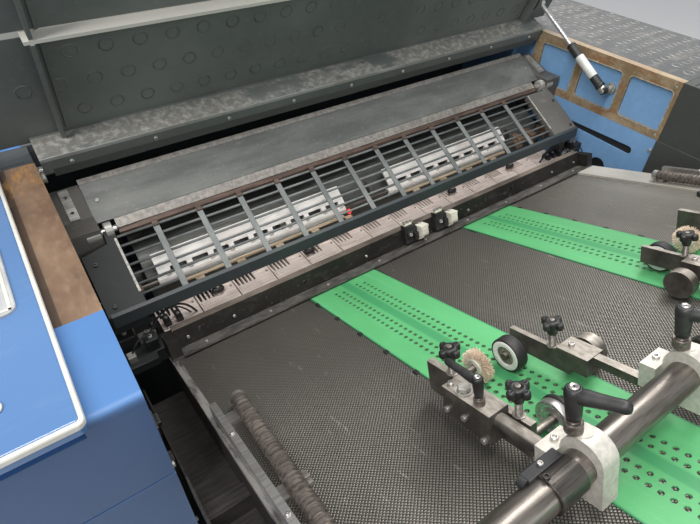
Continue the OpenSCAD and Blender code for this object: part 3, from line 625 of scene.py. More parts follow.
def mesh_piece(name, bm, finish, body="machine", smooth=False):
    """Makes an object of a bmesh and hands it to the body that carries it."""
    mesh = bpy.data.meshes.new(name)
    bmesh.ops.remove_doubles(bm, verts=bm.verts, dist=1e-6)
    bmesh.ops.recalc_face_normals(bm, faces=bm.faces)
    bm.to_mesh(mesh)
    bm.free()
    made = bpy.data.objects.new(name, mesh)
    bpy.context.scene.collection.objects.link(made)
    mesh.materials.append(FINISHES[finish])
    if smooth:
        for face in mesh.polygons:
            face.use_smooth = True
    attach(made, body)
    return made


def lathe(bm, profile, place, sides=24):
    """Revolves (radius, height) points in millimetres about Z and puts the result at a matrix."""
    rings = []
    for radius, height in profile:
        count = sides if radius else 1
        turns = [math.tau * i / sides for i in range(count)]
        rings.append([
            bm.verts.new(place @ (Vector((radius * math.cos(a), radius * math.sin(a), height)) * MM))
            for a in turns])
    for low, high in zip(rings, rings[1:]):
        for i in range(sides):
            j = (i + 1) % sides
            corners = [low[i % len(low)], low[j % len(low)], high[j % len(high)], high[i % len(high)]]
            unique = list(dict.fromkeys(corners))
            if len(unique) > 2:
                bm.faces.new(unique)


def brick(bm, low, high, place=Matrix(), bevel=0.0):
    """A box between two corners with its edges taken off, all in millimetres."""
    low, high = Vector(low) * MM, Vector(high) * MM
    made = bmesh.ops.create_cube(bm, size=1.0)
    shape = place @ Matrix.Translation((high + low) / 2) @ Matrix.Diagonal((*(high - low), 1))
    bmesh.ops.transform(bm, matrix=shape, verts=made["verts"])
    if bevel:
        edges = list({edge for vert in made["verts"] for edge in vert.link_edges})
        bmesh.ops.bevel(bm, geom=edges, offset=bevel * MM, segments=2, affect="EDGES", profile=0.6)


def outline_plate(bm, place, points, low, high):
    """A plate of an outline in millimetres between two heights."""
    foot = [bm.verts.new(place @ (Vector((*point, low)) * MM)) for point in points]
    head = [bm.verts.new(place @ (Vector((*point, high)) * MM)) for point in points]
    bm.faces.new(foot[::-1])
    bm.faces.new(head)
    for k in range(len(points)):
        n = (k + 1) % len(points)
        bm.faces.new((foot[k], foot[n], head[n], head[k]))


# How deep a head's foot goes into what carries it, in millimetres
SUNK = 0.4


def facing(point, direction):
    """A matrix at a point whose Z looks along a direction."""
    return Matrix.Translation(point) @ Vector(direction).to_track_quat("Z", "Y").to_matrix().to_4x4()


def cap_screw(bm, place, radius):
    """Socket head screw with a hexagonal recess."""
    rim, bore, head = radius * 0.12, radius * 0.56, radius * 0.9
    lathe(bm, [(radius, -SUNK), (radius, head - rim), (radius - rim, head), (bore, head)], place, 18)
    lathe(bm, [(bore, head), (radius * 0.5, radius * 0.35), (0, radius * 0.3)], place, 6)


def hex_bolt(bm, place, radius):
    """Hexagon head on a washer."""
    washer, thick = radius * 1.35, radius * 0.2
    lathe(bm, [(washer, -SUNK), (washer, thick), (radius, thick)], place, 20)
    lathe(bm, [(radius, thick), (radius, radius * 0.85), (radius * 0.86, radius), (0, radius)], place, 6)


def fasteners(name, places, radius, finish="bright", body="machine", head=cap_screw):
    """Equal screws or bolts at a run of (point, direction) places, as one object."""
    bm = bmesh.new()
    for point, direction in places:
        head(bm, facing(point, direction), radius)
    return mesh_piece(name, bm, finish, body)


def tube(bm, points, radius, sides=8):
    """Round tube along a run of points, with its radius in millimetres."""
    rings = []
    for i, point in enumerate(points):
        ahead = points[min(i + 1, len(points) - 1)] - points[max(i - 1, 0)]
        turn = ahead.to_track_quat("Z", "Y").to_matrix().to_4x4()
        place = Matrix.Translation(point) @ turn
        rings.append([bm.verts.new(place @ (Vector((radius * math.cos(a), radius * math.sin(a), 0)) * MM))
                      for a in (math.tau * k / sides for k in range(sides))])
    for low, high in zip(rings, rings[1:]):
        for k in range(sides):
            n = (k + 1) % sides
            bm.faces.new((low[k], low[n], high[n], high[k]))
    bm.faces.new(rings[0])
    bm.faces.new(rings[-1])


def bent(start, middle, end, count=14):
    """Points of a smooth bow from start over middle to end."""
    return [start * (1 - t) ** 2 + middle * (2 * t * (1 - t)) + end * t ** 2
            for t in (i / (count - 1) for i in range(count))]


def both_belts(x):
    """An X of the operator side's belt and its mirror image on the drive side's."""
    return (x, 2 * BELT_SHIFT / MM - x)


def wheel_axis(node, flip=False):
    """A matrix at a wheel's centre whose Z looks across the press."""
    low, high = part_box(node)
    return crosswise((low + high) / 2, math.radians(-90 if flip else 90))


def turned(bm, place, *profiles, sides=40):
    """Closed turned shapes, each a run of (radius, height) points in millimetres."""
    for profile in profiles:
        lathe(bm, profile + profile[:1], place, sides)


def ring_wheel(node):
    """Rubber tyre with pale side rings and a bearing in the middle."""
    place = wheel_axis(node)
    tyre = bmesh.new()
    turned(tyre, place, [(21.4, -8.8), (23.6, -9.0), (24.6, -8.4), (25, -7.2), (25, 7.2), (24.6, 8.4),
                         (23.6, 9.0), (21.4, 8.8)], sides=56)
    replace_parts(mesh_piece(node + "_tyre", tyre, "rubber", node, True), node)
    rings = bmesh.new()
    for side in (-1, 1):
        turned(rings, place, [(13.6, 6.6 * side), (13.9, 9.0 * side), (14.8, 9.6 * side),
                              (20.8, 9.6 * side), (21.8, 9.2 * side), (22.0, 6.6 * side)], sides=56)
    mesh_piece(node + "_side_rings", rings, "ring_face", node, True)
    hub = bmesh.new()
    turned(hub, place, [(5.2, -6.6), (7.0, -7.4), (8.2, -7.4), (8.8, -6.6), (10.8, -6.2), (11.4, -7.0),
                        (13.9, -6.8), (13.9, 6.8), (11.4, 7.0), (10.8, 6.2), (8.8, 6.6), (8.2, 7.4),
                        (7.0, 7.4), (5.2, 6.6)])
    bearing_balls(hub, place, 9.8, 6.3)
    mesh_piece(node + "_bearing", hub, "arm", node, True)


def bearing_balls(bm, place, circle, height):
    """Rivets of the bearing's cage, on both faces."""
    for side in (-1, 1):
        for k in range(9):
            spot = place @ Matrix.Rotation(k * math.tau / 9, 4, "Z") @ Matrix.Translation(
                (circle * MM, 0, side * height * MM))
            if side < 0:
                spot = spot @ Matrix.Rotation(math.pi, 4, "X")
            lathe(bm, [(0.9, -SUNK), (0.8, 0.4), (0, 0.7)], spot, 8)


def tyre_wheel(node, flip):
    """Polished roller with a rubber tyre beside it."""
    place = wheel_axis(node, flip)
    drum = bmesh.new()
    turned(drum, place, [(5.2, -6.0), (8.0, -7.6), (12.0, -7.8), (13.0, -6.4), (18.6, -6.4), (19.6, -8.6),
                         (22.2, -9.0), (23.4, -8.2), (23.6, -7.0), (23.6, 1.2), (22.8, 2.0), (5.2, 2.0)],
           sides=56)
    bearing_balls(drum, place, 15.8, 6.3)
    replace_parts(mesh_piece(node + "_roller", drum, "bright", node, True), node)
    tyre = bmesh.new()
    turned(tyre, place, [(19.0, 2.2), (23.6, 2.4), (24.8, 3.4), (25.0, 5.4), (24.8, 7.6), (23.6, 8.8),
                         (19.0, 9.0)], sides=56)
    mesh_piece(node + "_tyre", tyre, "rubber", node, True)
    disc = bmesh.new()
    turned(disc, place, [(5.2, 2.4), (19.0, 2.4), (19.0, 8.2), (17.4, 8.2), (16.4, 6.4), (9.0, 6.4),
                         (8.2, 8.4), (5.2, 8.6)])
    mesh_piece(node + "_disc", disc, "ring_face", node, True)


def brush_wheel(node, seed):
    """Cream hub with bristles set all round in crooked rows."""
    place = wheel_axis(node)
    hub = bmesh.new()
    turned(hub, place, [(5.2, -6.4), (6.4, -8.2), (8.0, -8.2), (8.4, -7.2), (9.4, -7.2), (9.8, -8.0),
                        (11.6, -7.6), (12.6, -5.6), (12.6, 5.6), (11.6, 7.6), (9.8, 8.0), (9.4, 7.2),
                        (8.4, 7.2), (8.0, 8.2), (6.4, 8.2), (5.2, 6.4)])
    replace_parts(mesh_piece(node + "_hub", hub, "cream", node, True), node)

    def hub_point(radius, angle, height):
        return place @ (Vector((radius * math.cos(angle), radius * math.sin(angle), height)) * MM)

    rng = random.Random(seed)
    bristles = bmesh.new()
    tufts = 34
    for k in range(tufts):
        for row in (-5.0, -1.7, 1.7, 5.0):
            angle = (k + (0.5 if row in (-1.7, 5.0) else 0)) * math.tau / tufts
            for _ in range(7):
                lean = rng.uniform(-0.16, 0.16)
                tip_z = row + rng.uniform(-2.6, 2.6)
                reach = rng.uniform(22.6, 24.9)
                bristle(bristles, hub_point(11.8, angle, row),
                        hub_point(reach, angle + lean, max(-7.8, min(7.8, tip_z))), 0.62 * MM)
    mesh_piece(node + "_bristles", bristles, "bristle", node, False)


def bristle(bm, base, tip, thick):
    """One three-sided bristle that thins to half at its tip."""
    turn = (tip - base).to_track_quat("Z", "Y").to_matrix()
    foot, head = ([bm.verts.new(end + turn @ Vector((r * math.cos(a), r * math.sin(a), 0)))
                   for a in (0, math.tau / 3, 2 * math.tau / 3)]
                  for end, r in ((base, thick), (tip, thick * 0.5)))
    for k in range(3):
        n = (k + 1) % 3
        bm.faces.new((foot[k], foot[n], head[n], head[k]))
    bm.faces.new(head)
    bm.faces.new(foot[::-1])


def hold_down_wheels():
    """Three kinds of wheel on each belt's arms; each brush has a seed of its own."""
    for seed, side in enumerate(("left", "right")):
        ring_wheel(side + "_ring_wheel")
        tyre_wheel(side + "_tyre_wheel", side == "right")
        brush_wheel(side + "_brush_wheel", 5 + seed)


def threads(radius, length, pitch=1.6):
    """Profile of a threaded stud, open at its foot."""
    turns = int(length / pitch)
    points = []
    for k in range(turns):
        points += [(radius, k * pitch), (radius * 0.88, (k + 0.5) * pitch)]
    return points + [(radius, length), (0, length)]


# Place of each knob: across, up the slope and off the table
KNOBS = ((-328, 452, 64), (-328, 556, 64), (-188, 492, 50))
# Place, turn in degrees, share of full size and reach of each lever
LEVERS = ((-340, 631, 103, -72, 0.96, 48), (-161, 634, 103, -72, 0.96, 48), (-353, 523, 75, 90, 0.70, 50))


def on_arm(x, up, height, side, turn=0.0):
    """A place on an arm, given for the operator's belt and mirrored for the drive side's."""
    if side:
        x, turn = both_belts(x)[1], 180 - turn
    spin = Matrix.Rotation(math.radians(turn), 4, "Z")
    return TABLE @ Matrix.Translation((x * MM, -up * MM, height * MM)) @ spin


def star_knobs():
    """Threaded studs under four-lobed knobs with tapered necks."""
    studs, knobs = bmesh.new(), bmesh.new()
    for side in (0, 1):
        for x, up, height in KNOBS:
            place = on_arm(x, up, height, side)
            lathe(studs, threads(4.5, 22), place, 20)
            turned(studs, place, [(4.3, 0), (7.5, 0), (7.5, 1.2), (6.2, 1.6), (4.3, 1.6)], sides=20)
            turned(knobs, place, [(3.8, 19.5), (6.0, 19.5), (6.8, 24.0), (8.0, 29.6), (10.2, 30.6),
                                  (10.2, 37.8), (9.0, 39.8), (3.8, 40.4)], sides=32)
            turned(studs, place, [(0.6, 39.4), (3.4, 39.4), (3.2, 40.9), (0.6, 41.1)], sides=20)
            for k in range(4):
                quarter = Matrix.Rotation(k * math.pi / 2, 4, "Z")
                lobe = place @ quarter @ Matrix.Translation((11.0 * MM, 0, 0))
                turned(knobs, lobe, [(0.4, 29.4), (4.0, 29.8), (5.0, 31.2), (5.0, 37.4), (4.0, 39.2),
                                     (0.4, 39.6)], sides=18)
    mesh_piece("knob_studs", studs, "arm")
    made = mesh_piece("star_knobs", knobs, "grip", smooth=True)
    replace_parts(made, "clamp_handles")


def clamp_levers():
    """Adjustable levers: threaded stud, tapered hub, push button and a swept grip."""
    studs, grips, buttons = bmesh.new(), bmesh.new(), bmesh.new()
    for side in (0, 1):
        for x, up, height, turn, share, reach in LEVERS:
            place = on_arm(x, up, height, side, turn)
            scale = place @ Matrix.Scale(share, 4)
            lathe(studs, threads(6.3, 19, 2.0), scale, 24)
            turned(studs, scale, [(5.0, 0), (9.0, 0), (9.4, 1.0), (9.4, 11.0), (8.6, 12.2), (5.0, 12.2)],
                   sides=36)
            turned(buttons, scale, [(5.2, 51.6), (5.0, 54.0), (3.6, 55.0), (1.5, 54.4), (1.5, 51.6)],
                   sides=20)
            turned(grips, scale, [(5.4, 15.4), (7.2, 15.4), (7.9, 22), (8.6, 34), (9.3, 44), (9.3, 49),
                                  (8.0, 52.2), (5.8, 53.2), (5.2, 52.0)], sides=36)
            arm = scale @ Matrix.Translation((0, 0, 43.5 * MM)) @ Matrix.Rotation(math.radians(86), 4, "Y")
            run = reach / share
            lathe(grips, [(r, z * run) for r, z in (
                (7.2, 0), (8.2, 0.16), (8.1, 0.28), (7.2, 0.48), (6.8, 0.70), (6.9, 0.86), (6.2, 0.94),
                (4.4, 0.985), (2.0, 1.0), (0, 1.003))], arm, 28)
    mesh_piece("lever_studs", studs, "rod")
    mesh_piece("lever_washers", buttons, "bright")
    mesh_piece("lever_grips", grips, "grip", smooth=True)


def arm_fittings():
    """Screws and bolts of the wheel arms, and collars and straps on the cross shaft."""
    heads, bolts, collars, straps = [], [], bmesh.new(), bmesh.new()
    for side in (0, 1):
        away = Vector((1 if side else -1, 0, 0))
        for up, height in ((478, 45), (507, 50), (536, 36)):
            heads.append((on_arm(-362, up, height, side).translation, away))
        for x, up, height in ((-341, 611, 78), (-164, 611, 78), (-176, 512, 54)):
            heads.append((on_arm(x, up, height, side).translation, TABLE_NORMAL))
        bolts.append((on_arm(-350, 496, 75, side).translation, TABLE_NORMAL))
        heads.append((on_arm(-352, 477, 75, side).translation, TABLE_NORMAL))
        near, far = (crosswise(table_point(both_belts(x)[side], SHAFT_UP, SHAFT_OFF)) for x in (-378, -120))
        turned(collars, near, [(17.1, -19), (19.6, -19), (20.4, -18.2), (20.4, -14.6), (19.2, -14),
                               (19.2, 19), (17.1, 19)], sides=48)
        turned(collars, far, [(17.1, -6), (22.4, -6), (23.4, -5), (23.4, 5), (22.4, 6), (17.1, 6)], sides=44)
        for x, top in ((-394, 92.0), (-120, 95.2)):
            cap_screw(collars, facing(on_arm(x, SHAFT_UP, top, side).translation, TABLE_NORMAL), 3.4)
        x = both_belts(-386)[side]
        brick(straps, (x - 22, -636, 86.4), (x + 24, -624, 92), TABLE, 1)
        eye = TABLE @ leaning(Vector((x - 24, -630, 87)) * MM, math.pi / 2)
        turned(straps, eye, [(2.2, -4), (5.2, -4), (5.2, 4), (2.2, 4)], sides=20)
    fasteners("arm_screws", heads, 4.2, "bright")
    fasteners("block_bolts", bolts, 8.0, "knuckle", head=hex_bolt)
    mesh_piece("shaft_collars", collars, "collar")
    mesh_piece("shaft_straps", straps, "black")
    tips = [(on_arm(-386, 630, 92, side).translation, TABLE_NORMAL) for side in (0, 1)]
    fasteners("strap_screws", tips, 2.9, "bright")


def pressed_rings(name, place, low, high, pitch, radius, finish, body, keep=lambda u, v: True):
    """Rings raised off a plate in staggered rows, drawn on the matrix's XY plane in millimetres."""
    bm = bmesh.new()
    foot, crown, rise = 1.7, 0.7, 0.75
    ridge = [(radius - foot, -0.05), (radius - crown, rise), (radius + crown, rise), (radius + foot, -0.05)]
    rows = int((high[1] - low[1]) / pitch)
    for j in range(rows):
        v = low[1] + (j + 0.5) * (high[1] - low[1]) / rows
        u = low[0] + pitch * (0.5 if j % 2 else 1.0)
        while u < high[0] - radius:
            if keep(u, v):
                lathe(bm, ridge, place @ Matrix.Translation((u * MM, v * MM, 0)), 20)
            u += pitch
    return mesh_piece(name, bm, finish, body, True)


def footboard_rings():
    """Rings on both faces of the footboard, clear of its ribs and of what it lies down on."""
    pitch, radius = 55, 11.5
    mid_rib, stiffener = -253, 597

    def clear(u, v):
        off_ribs = abs(v - mid_rib) > 18 and v < -72 and abs(abs(u) - stiffener) > 17
        return off_ribs and (abs(u) < 640 or v < -330)

    def off_lip(u, v):
        return v < -60 or abs(u) < 630

    worn = BOARD @ Matrix.Translation((0, 0, 30.3 * MM)) @ Matrix.Rotation(math.pi, 4, "Y")
    pressed_rings("footboard_rings", worn, (-690, -418), (690, -62), pitch, radius, "board_ring",
                  "footboard", clear)
    walked = BOARD @ Matrix.Translation((0, 0, 34.3 * MM))
    pressed_rings("footboard_top_rings", walked, (-690, -420), (690, -16), pitch, radius, "board_ring",
                  "footboard", off_lip)


def tread_rings():
    """Rings on the rear deck and on the drive side's tread, clear of the closed footboard."""
    edge = 6
    for name, node, first in (("rear_deck_rings", "rear_deck", -HOUSING_X),
                              ("drive_tread_rings", "drive_tread_plate", 722)):
        low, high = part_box(node)
        top = Matrix.Translation((0, LINE_Y, high.z))
        corner = (low.x / MM + edge, (low.y - LINE_Y) / MM + edge)
        other = (high.x / MM - edge, (high.y - LINE_Y) / MM - edge)
        pressed_rings(name, top, corner, other, 42, 12.5, "tread_ring", "machine",
                      lambda u, v: u > first)


def grille():
    """Swing-up guard: flat bars over round rods, cheeks at its ends and a folded beam in front."""
    place = leaning(line_point(0, 64, 80), math.radians(29))
    length, end, rod_count = 143, 598, 7
    # Spaced for fourteen bays; the drive side's cheek takes the place of the last bar
    bay, bar_count = 2 * end / 14, 12
    bars, clips, rods, edges = (bmesh.new() for _ in range(4))
    for i in range(1, bar_count + 1):
        x = -end + i * bay
        brick(bars, (x - 5.8, 1, -3), (x + 5.8, length - 1, 0), place, 0.9)
        brick(clips, (x - 5.4, length - 9, -4), (x + 5.4, length + 3, 3), place, 0.8)
    for j in range(1, rod_count + 1):
        y = j * (length - 6) / rod_count + 3
        tube(rods, [place @ (Vector((x, y, -5.6)) * MM) for x in (-588, 520)], 2.5, 12)
    for side, name, finish, inner, outer in ((-1, "operator", "deep_slate", 585, 650),
                                             (1, "drive", "bracket", 517, 606)):
        cheek = bmesh.new()
        corners = [(outer, 0), (inner, 0), (inner, length - 4), (583, length - 4), (585, length + 16),
                   (601, length + 16), (603, length - 12), (outer, length - 22)]
        outline_plate(cheek, place, [(side * x, y) for x, y in corners], -3, 0)
        x0, x1 = sorted((side * (inner + 5), side * (inner - 1)))
        brick(cheek, (x0, 2, -14), (x1, length - 6, -2), place, 0.8)
        x0, x1 = sorted((side * outer, side * max(inner, 590)))
        outline_plate(cheek, PROFILE, [(62.6, 80.6), (59.5, 42), (62.5, 42), (66, 79.5)], x0, x1)
        x0, x1 = sorted((side * (inner + 4), side * (inner - 0.6)))
        brick(edges, (x0, 26, -0.4), (x1, length - 6, 0.8), place, 0.5)
        boss = crosswise(GRILLE_HINGE + Vector((side * 590 * MM, 0, 0)))
        turned(edges, boss, [(6.2, -6.8), (14, -6.8), (15, -5.8), (15, 5.8), (14, 6.8), (6.2, 6.8)])
        mesh_piece(name + "_grille_cheek", cheek, finish, "grille")
    beam = bmesh.new()
    outline_plate(beam, PROFILE, [(67, 84.4), (60.8, 81.4), (58.8, 57.6), (72, 53), (72.8, 55), (61.2, 59.4),
                                  (63.0, 80.0), (68, 82.2)], -646, 606)
    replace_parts(mesh_piece("grille_bars", bars, "grille", "grille"), "grille_guard")
    mesh_piece("grille_rods", rods, "grille", "grille", True)
    mesh_piece("grille_clips", clips, "rust", "grille")
    mesh_piece("grille_cheek_edges", edges, "knuckle", "grille")
    mesh_piece("grille_beam", beam, "beam_slate", "grille")
    off = place.to_3x3() @ UPWARD
    screws = [(place @ (Vector((x, y, 0)) * MM), off) for x in (-634, 592) for y in (16, 100)]
    fasteners("grille_screws", screws, 3.6, "slate", "grille")


def hood_fittings():
    """Front strip of the hood, its end bars with two holes, and the grille's hinge knuckles."""
    strip = bmesh.new()
    outline_plate(strip, PROFILE, [(224.6, 157.6), (208.5, 147.6), (207.4, 149.2), (223.8, 159.4)], -574, 574)
    mesh_piece("hood_front_strip", strip, "strip")
    back = bmesh.new()
    slope = leaning(line_point(0, 228, 155), math.atan2(44, 70))
    brick(back, (-604, 83.4, 0), (604, 95, 3), slope, 0.6)
    mesh_piece("hood_rear_strip", back, "strip")
    rail = bmesh.new()
    outline_plate(rail, PROFILE, [(199.5, 134), (207.6, 134), (209.4, 148.0), (206.2, 147.6), (199.5, 143.6)],
                  -574, 574)
    mesh_piece("grille_rail", rail, "rust")
    bars, knuckles, screws = bmesh.new(), bmesh.new(), []
    for side in (-1, 1):
        lean = leaning(line_point(side * 633, 238, 168.4), math.atan2(28, 72))
        drilled_bar(bars, lean, 17, 70, 5, (16, 52))
        brick(bars, (-12, -44, -9), (13, -3, -1.2), lean, 2)
        hinge = crosswise(GRILLE_HINGE + Vector((side * 618 * MM, 0, 0)))
        turned(knuckles, hinge, [(6.3, -13), (13.5, -13), (15, -11.5), (15, 11.5), (13.5, 13), (6.3, 13)])
        lathe(knuckles, [(6.4, 15), (0, 15.4)], hinge, 24)
        turned(knuckles, hinge, [(5.6, 12), (8.8, 12), (8.8, 14.6), (5.6, 14.6)])
        screws.append((line_point(side * 586, 262, 181.6), Vector((0, -0.53, 0.85))))
    mesh_piece("hood_end_bars", bars, "knuckle")
    mesh_piece("grille_knuckles", knuckles, "knuckle")
    fasteners("hood_screws", screws, 3.6, "knuckle")


def drilled_bar(bm, place, width, length, thick, holes):
    """Flat bar with drilled holes, drawn from its foot along Y."""
    half, bore, sides = width / 2, 3.4, 16

    def face(*points):
        bm.faces.new([bm.verts.new(place @ (Vector(point) * MM)) for point in points])

    turns = [(math.cos(a), math.sin(a)) for a in (k * math.tau / sides for k in range(sides + 1))]
    for hole in holes:
        ring = [(bore * c, hole + bore * s) for c, s in turns]
        square = [(half * c / max(abs(c), abs(s)), hole + half * s / max(abs(c), abs(s))) for c, s in turns]
        for (inner, outer), (inner_next, outer_next) in zip(zip(ring, square), zip(ring[1:], square[1:])):
            for z in (0, thick):
                face((*inner, z), (*outer, z), (*outer_next, z), (*inner_next, z))
            face((*inner, 0), (*inner_next, 0), (*inner_next, thick), (*inner, thick))
    stops = [0] + [hole + step for hole in holes for step in (-half, half)] + [length]
    for low, high in zip(stops[::2], stops[1::2]):
        for z in (0, thick):
            face((-half, low, z), (half, low, z), (half, high, z), (-half, high, z))
    outline = [(-half, 0), (half, 0), (half, length), (-half, length)]
    for start, end in zip(outline, outline[1:] + outline[:1]):
        face((*start, 0), (*end, 0), (*end, thick), (*start, thick))


def register_plates():
    """Pale plates with tapered teeth at their back, on one carrier; their pale tone is partly painted light.
    """
    plates, carrier, stops = bmesh.new(), bmesh.new(), bmesh.new()
    middles = [(k - (PLATES - 1) / 2) * PLATE_PITCH for k in range(PLATES)]
    half, front, back = 39.6, 42, 128
    for middle in middles:
        teeth = []
        for i in range(5):
            x = middle + 1 - i * 8.6
            teeth += [(x + 3.7, back), (x + 2.0, back - 30), (x - 2.0, back - 30), (x - 3.7, back)]
        outline_plate(plates, AT_LINE, [(middle - half, front), (middle + half, front), (middle + half, back)]
                      + teeth + [(middle - half, back)], -12, -4)
        brick(stops, (middle + 12, 119, -4.2), (middle + 34, 127, -1), AT_LINE, 0.8)
        brick(stops, (middle - 36, 84, -4.2), (middle + 3, 95, -2.4), AT_LINE, 0.6)
    brick(carrier, (-WALL_X, 36, -44), (WALL_X, 124, -12), AT_LINE, 1)
    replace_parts(mesh_piece("register_plates_toothed", plates, "comb"), "register_plates")
    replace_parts(mesh_piece("register_carrier", carrier, "black"), "front_lays")
    mesh_piece("register_stops", stops, "comb")
    screws = [(line_point(middle + x, y, -4), UPWARD)
              for middle in middles for x, y in ((-32, 68), (33, 68), (33, 108))]
    fasteners("register_screws", screws, 2.3, "knuckle")


def lay_adjusters():
    """Oval knobs on threaded studs, set at the joints of the register plates."""
    knobs, studs = bmesh.new(), bmesh.new()
    for x in (-447, -233, 190, 404):
        foot = leaning(line_point(x, 100, -4), math.radians(-14))
        wide = foot @ Matrix.Diagonal((1.45, 0.85, 1, 1))
        turned(knobs, wide, [(2.0, 6), (8.2, 6), (9.2, 8.4), (9.2, 13), (7.4, 16), (2.0, 16.6)], sides=28)
        lathe(studs, threads(3.2, 25, 1.4), foot, 16)
        turned(studs, foot, [(2.5, 0), (6.4, 0), (6.4, 5.4), (2.5, 5.4)], sides=6)
        turned(studs, foot, [(2.5, 17), (5.6, 17), (5.6, 20.4), (2.5, 20.4)], sides=6)
    mesh_piece("lay_adjusters", knobs, "grip", smooth=True)
    mesh_piece("lay_adjuster_studs", studs, "bright")


def rail_screws():
    """Screws in the front rail's face and in its lower flange."""
    face = [(table_point(x, 0, 22), -DOWNHILL) for x in (-545, -455, -150, 150, 455, 545)]
    fasteners("rail_face_screws", face, 3.0, "bright")
    flange = [(table_point(x, 17, 7), TABLE_NORMAL) for x in range(-520, 521, 130)]
    fasteners("rail_flange_screws", flange, 2.6, "knuckle")


def gripper_bars():
    """Notched bars over round bars in two lengths, with golden strips before them, on one rod."""
    bars, rounds, strips, ends, rod = (bmesh.new() for _ in range(5))
    lean = leaning(line_point(0, 146, 70), math.radians(38))
    rod_y, rod_z, pitch = 138, 52, 44
    for start, count, spare in ((-541, 9, 28), (10, 8, 42)):
        end = start + count * pitch + spare
        notched = [(start, 34), (start, -7)]
        for k in range(count):
            x = start + 24 + k * pitch
            notched += [(x, -7), (x, -1), (x + 1.5, 0.5), (x + 31.5, 0.5), (x + 33, -1), (x + 33, -7)]
        outline_plate(bars, lean, notched + [(end, -7), (end, 34)], 0, 4)
        outline_plate(bars, lean, [(start + 4, 14), (end - 4, 14), (end - 4, 15.6), (start + 4, 15.6)], 4, 5)
        for k in range(count + 1):
            brick(rounds, (start + 14 + k * pitch, 134, 56), (start + 23 + k * pitch, 148, 70), AT_LINE, 2)
        axis = crosswise(line_point(start, rod_y, rod_z))
        turned(rounds, axis, [(4.5, -4), (7.6, -4), (8, -3), (8, end - start - 1), (7.4, end - start),
                              (4.5, end - start)], sides=28)
        brick(strips, (start + 36, 119, 43), (end - 12, 134, 46.5), AT_LINE, 0.6)
        for k in range(0, count, 2):
            brick(strips, (start + 60 + k * pitch, 112, 40), (start + 78 + k * pitch, 121, 44), AT_LINE, 0.8)
    for x in (-592, 462, 512, 570):
        brick(ends, (x - 22, 128, 40), (x + 17, 152, 57), AT_LINE, 3)
        brick(ends, (x - 14, 124, 34), (x + 8, 158, 64), AT_LINE, 3)
    mesh_piece("gripper_end_blocks", ends, "tan")
    tube(rod, [line_point(x, rod_y, rod_z) for x in (-WALL_X, WALL_X)], 5.2, 20)
    for x in (-507, -272, -37, 198, 433):
        outline_plate(rod, PROFILE, [(133, 50), (146, 44), (166, 80), (160, 84), (146, 72)], x - 5, x + 5)
    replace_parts(mesh_piece("gripper_slotted_bars", bars, "gripper"), "gripper_bars")
    mesh_piece("gripper_round_bars", rounds, "gripper")
    mesh_piece("gripper_strips", strips, "golden")
    mesh_piece("gripper_rod", rod, "shaft")


def sensor_fittings():
    """Housings, covers, clips and screws of the two sheet sensors, and the lamp behind them."""
    black, pale, metal = bmesh.new(), bmesh.new(), bmesh.new()
    for x in (-26, 62):
        place = TABLE @ Matrix.Translation((x * MM, 0, 0))
        brick(black, (-24, -14, 46), (4, 2, 54), place, 1.5)
        brick(black, (-20, -16, 26), (-4, -8, 40), place, 1.2)
        brick(black, (-24, -13, 12), (9, -2, 46.6), place, 1)
        brick(black, (-2, -18, 16), (9, -8, 34), place, 1.2)
        brick(pale, (9.6, -27.2, 40), (31, -5, 46.4), place, 1.4)
        brick(pale, (12, -28.4, 26), (28, -26, 40), place, 1)
        brick(pale, (-22, -12, 54), (-2, 0, 58), place, 1.2)
        for a in (0, 1, 2):
            brick(metal, (-22 + a * 9, -11, 58), (-17 + a * 9, -4, 63), place, 0.8)
        turned(metal, place @ leaning(Vector((-12, -16.2, 33)) * MM, math.pi / 2),
               [(1.2, -SUNK), (4.2, -SUNK), (4.2, 1.6), (3.4, 2.2), (1.2, 1.4)], sides=24)
        turned(metal, place @ Matrix.Translation(Vector((20, -10, 45)) * MM),
               [(1.0, 0), (4.0, 0), (4.0, 3.4), (3.2, 4.2), (1.0, 3.4)], sides=24)
    mesh_piece("sensor_housings", black, "grip")
    mesh_piece("sensor_covers", pale, "cream")
    mesh_piece("sensor_clips", metal, "bright")
    lamp = bmesh.new()
    spot = facing(line_point(-111, 127, 48), Vector((-0.3, -0.5, 0.8)))
    turned(lamp, spot, [(0.6, -4), (5.0, -4), (5.0, 3.0), (3.6, 5.4), (0.6, 6.2)], sides=20)
    mesh_piece("sheet_lamp", lamp, "lamp")


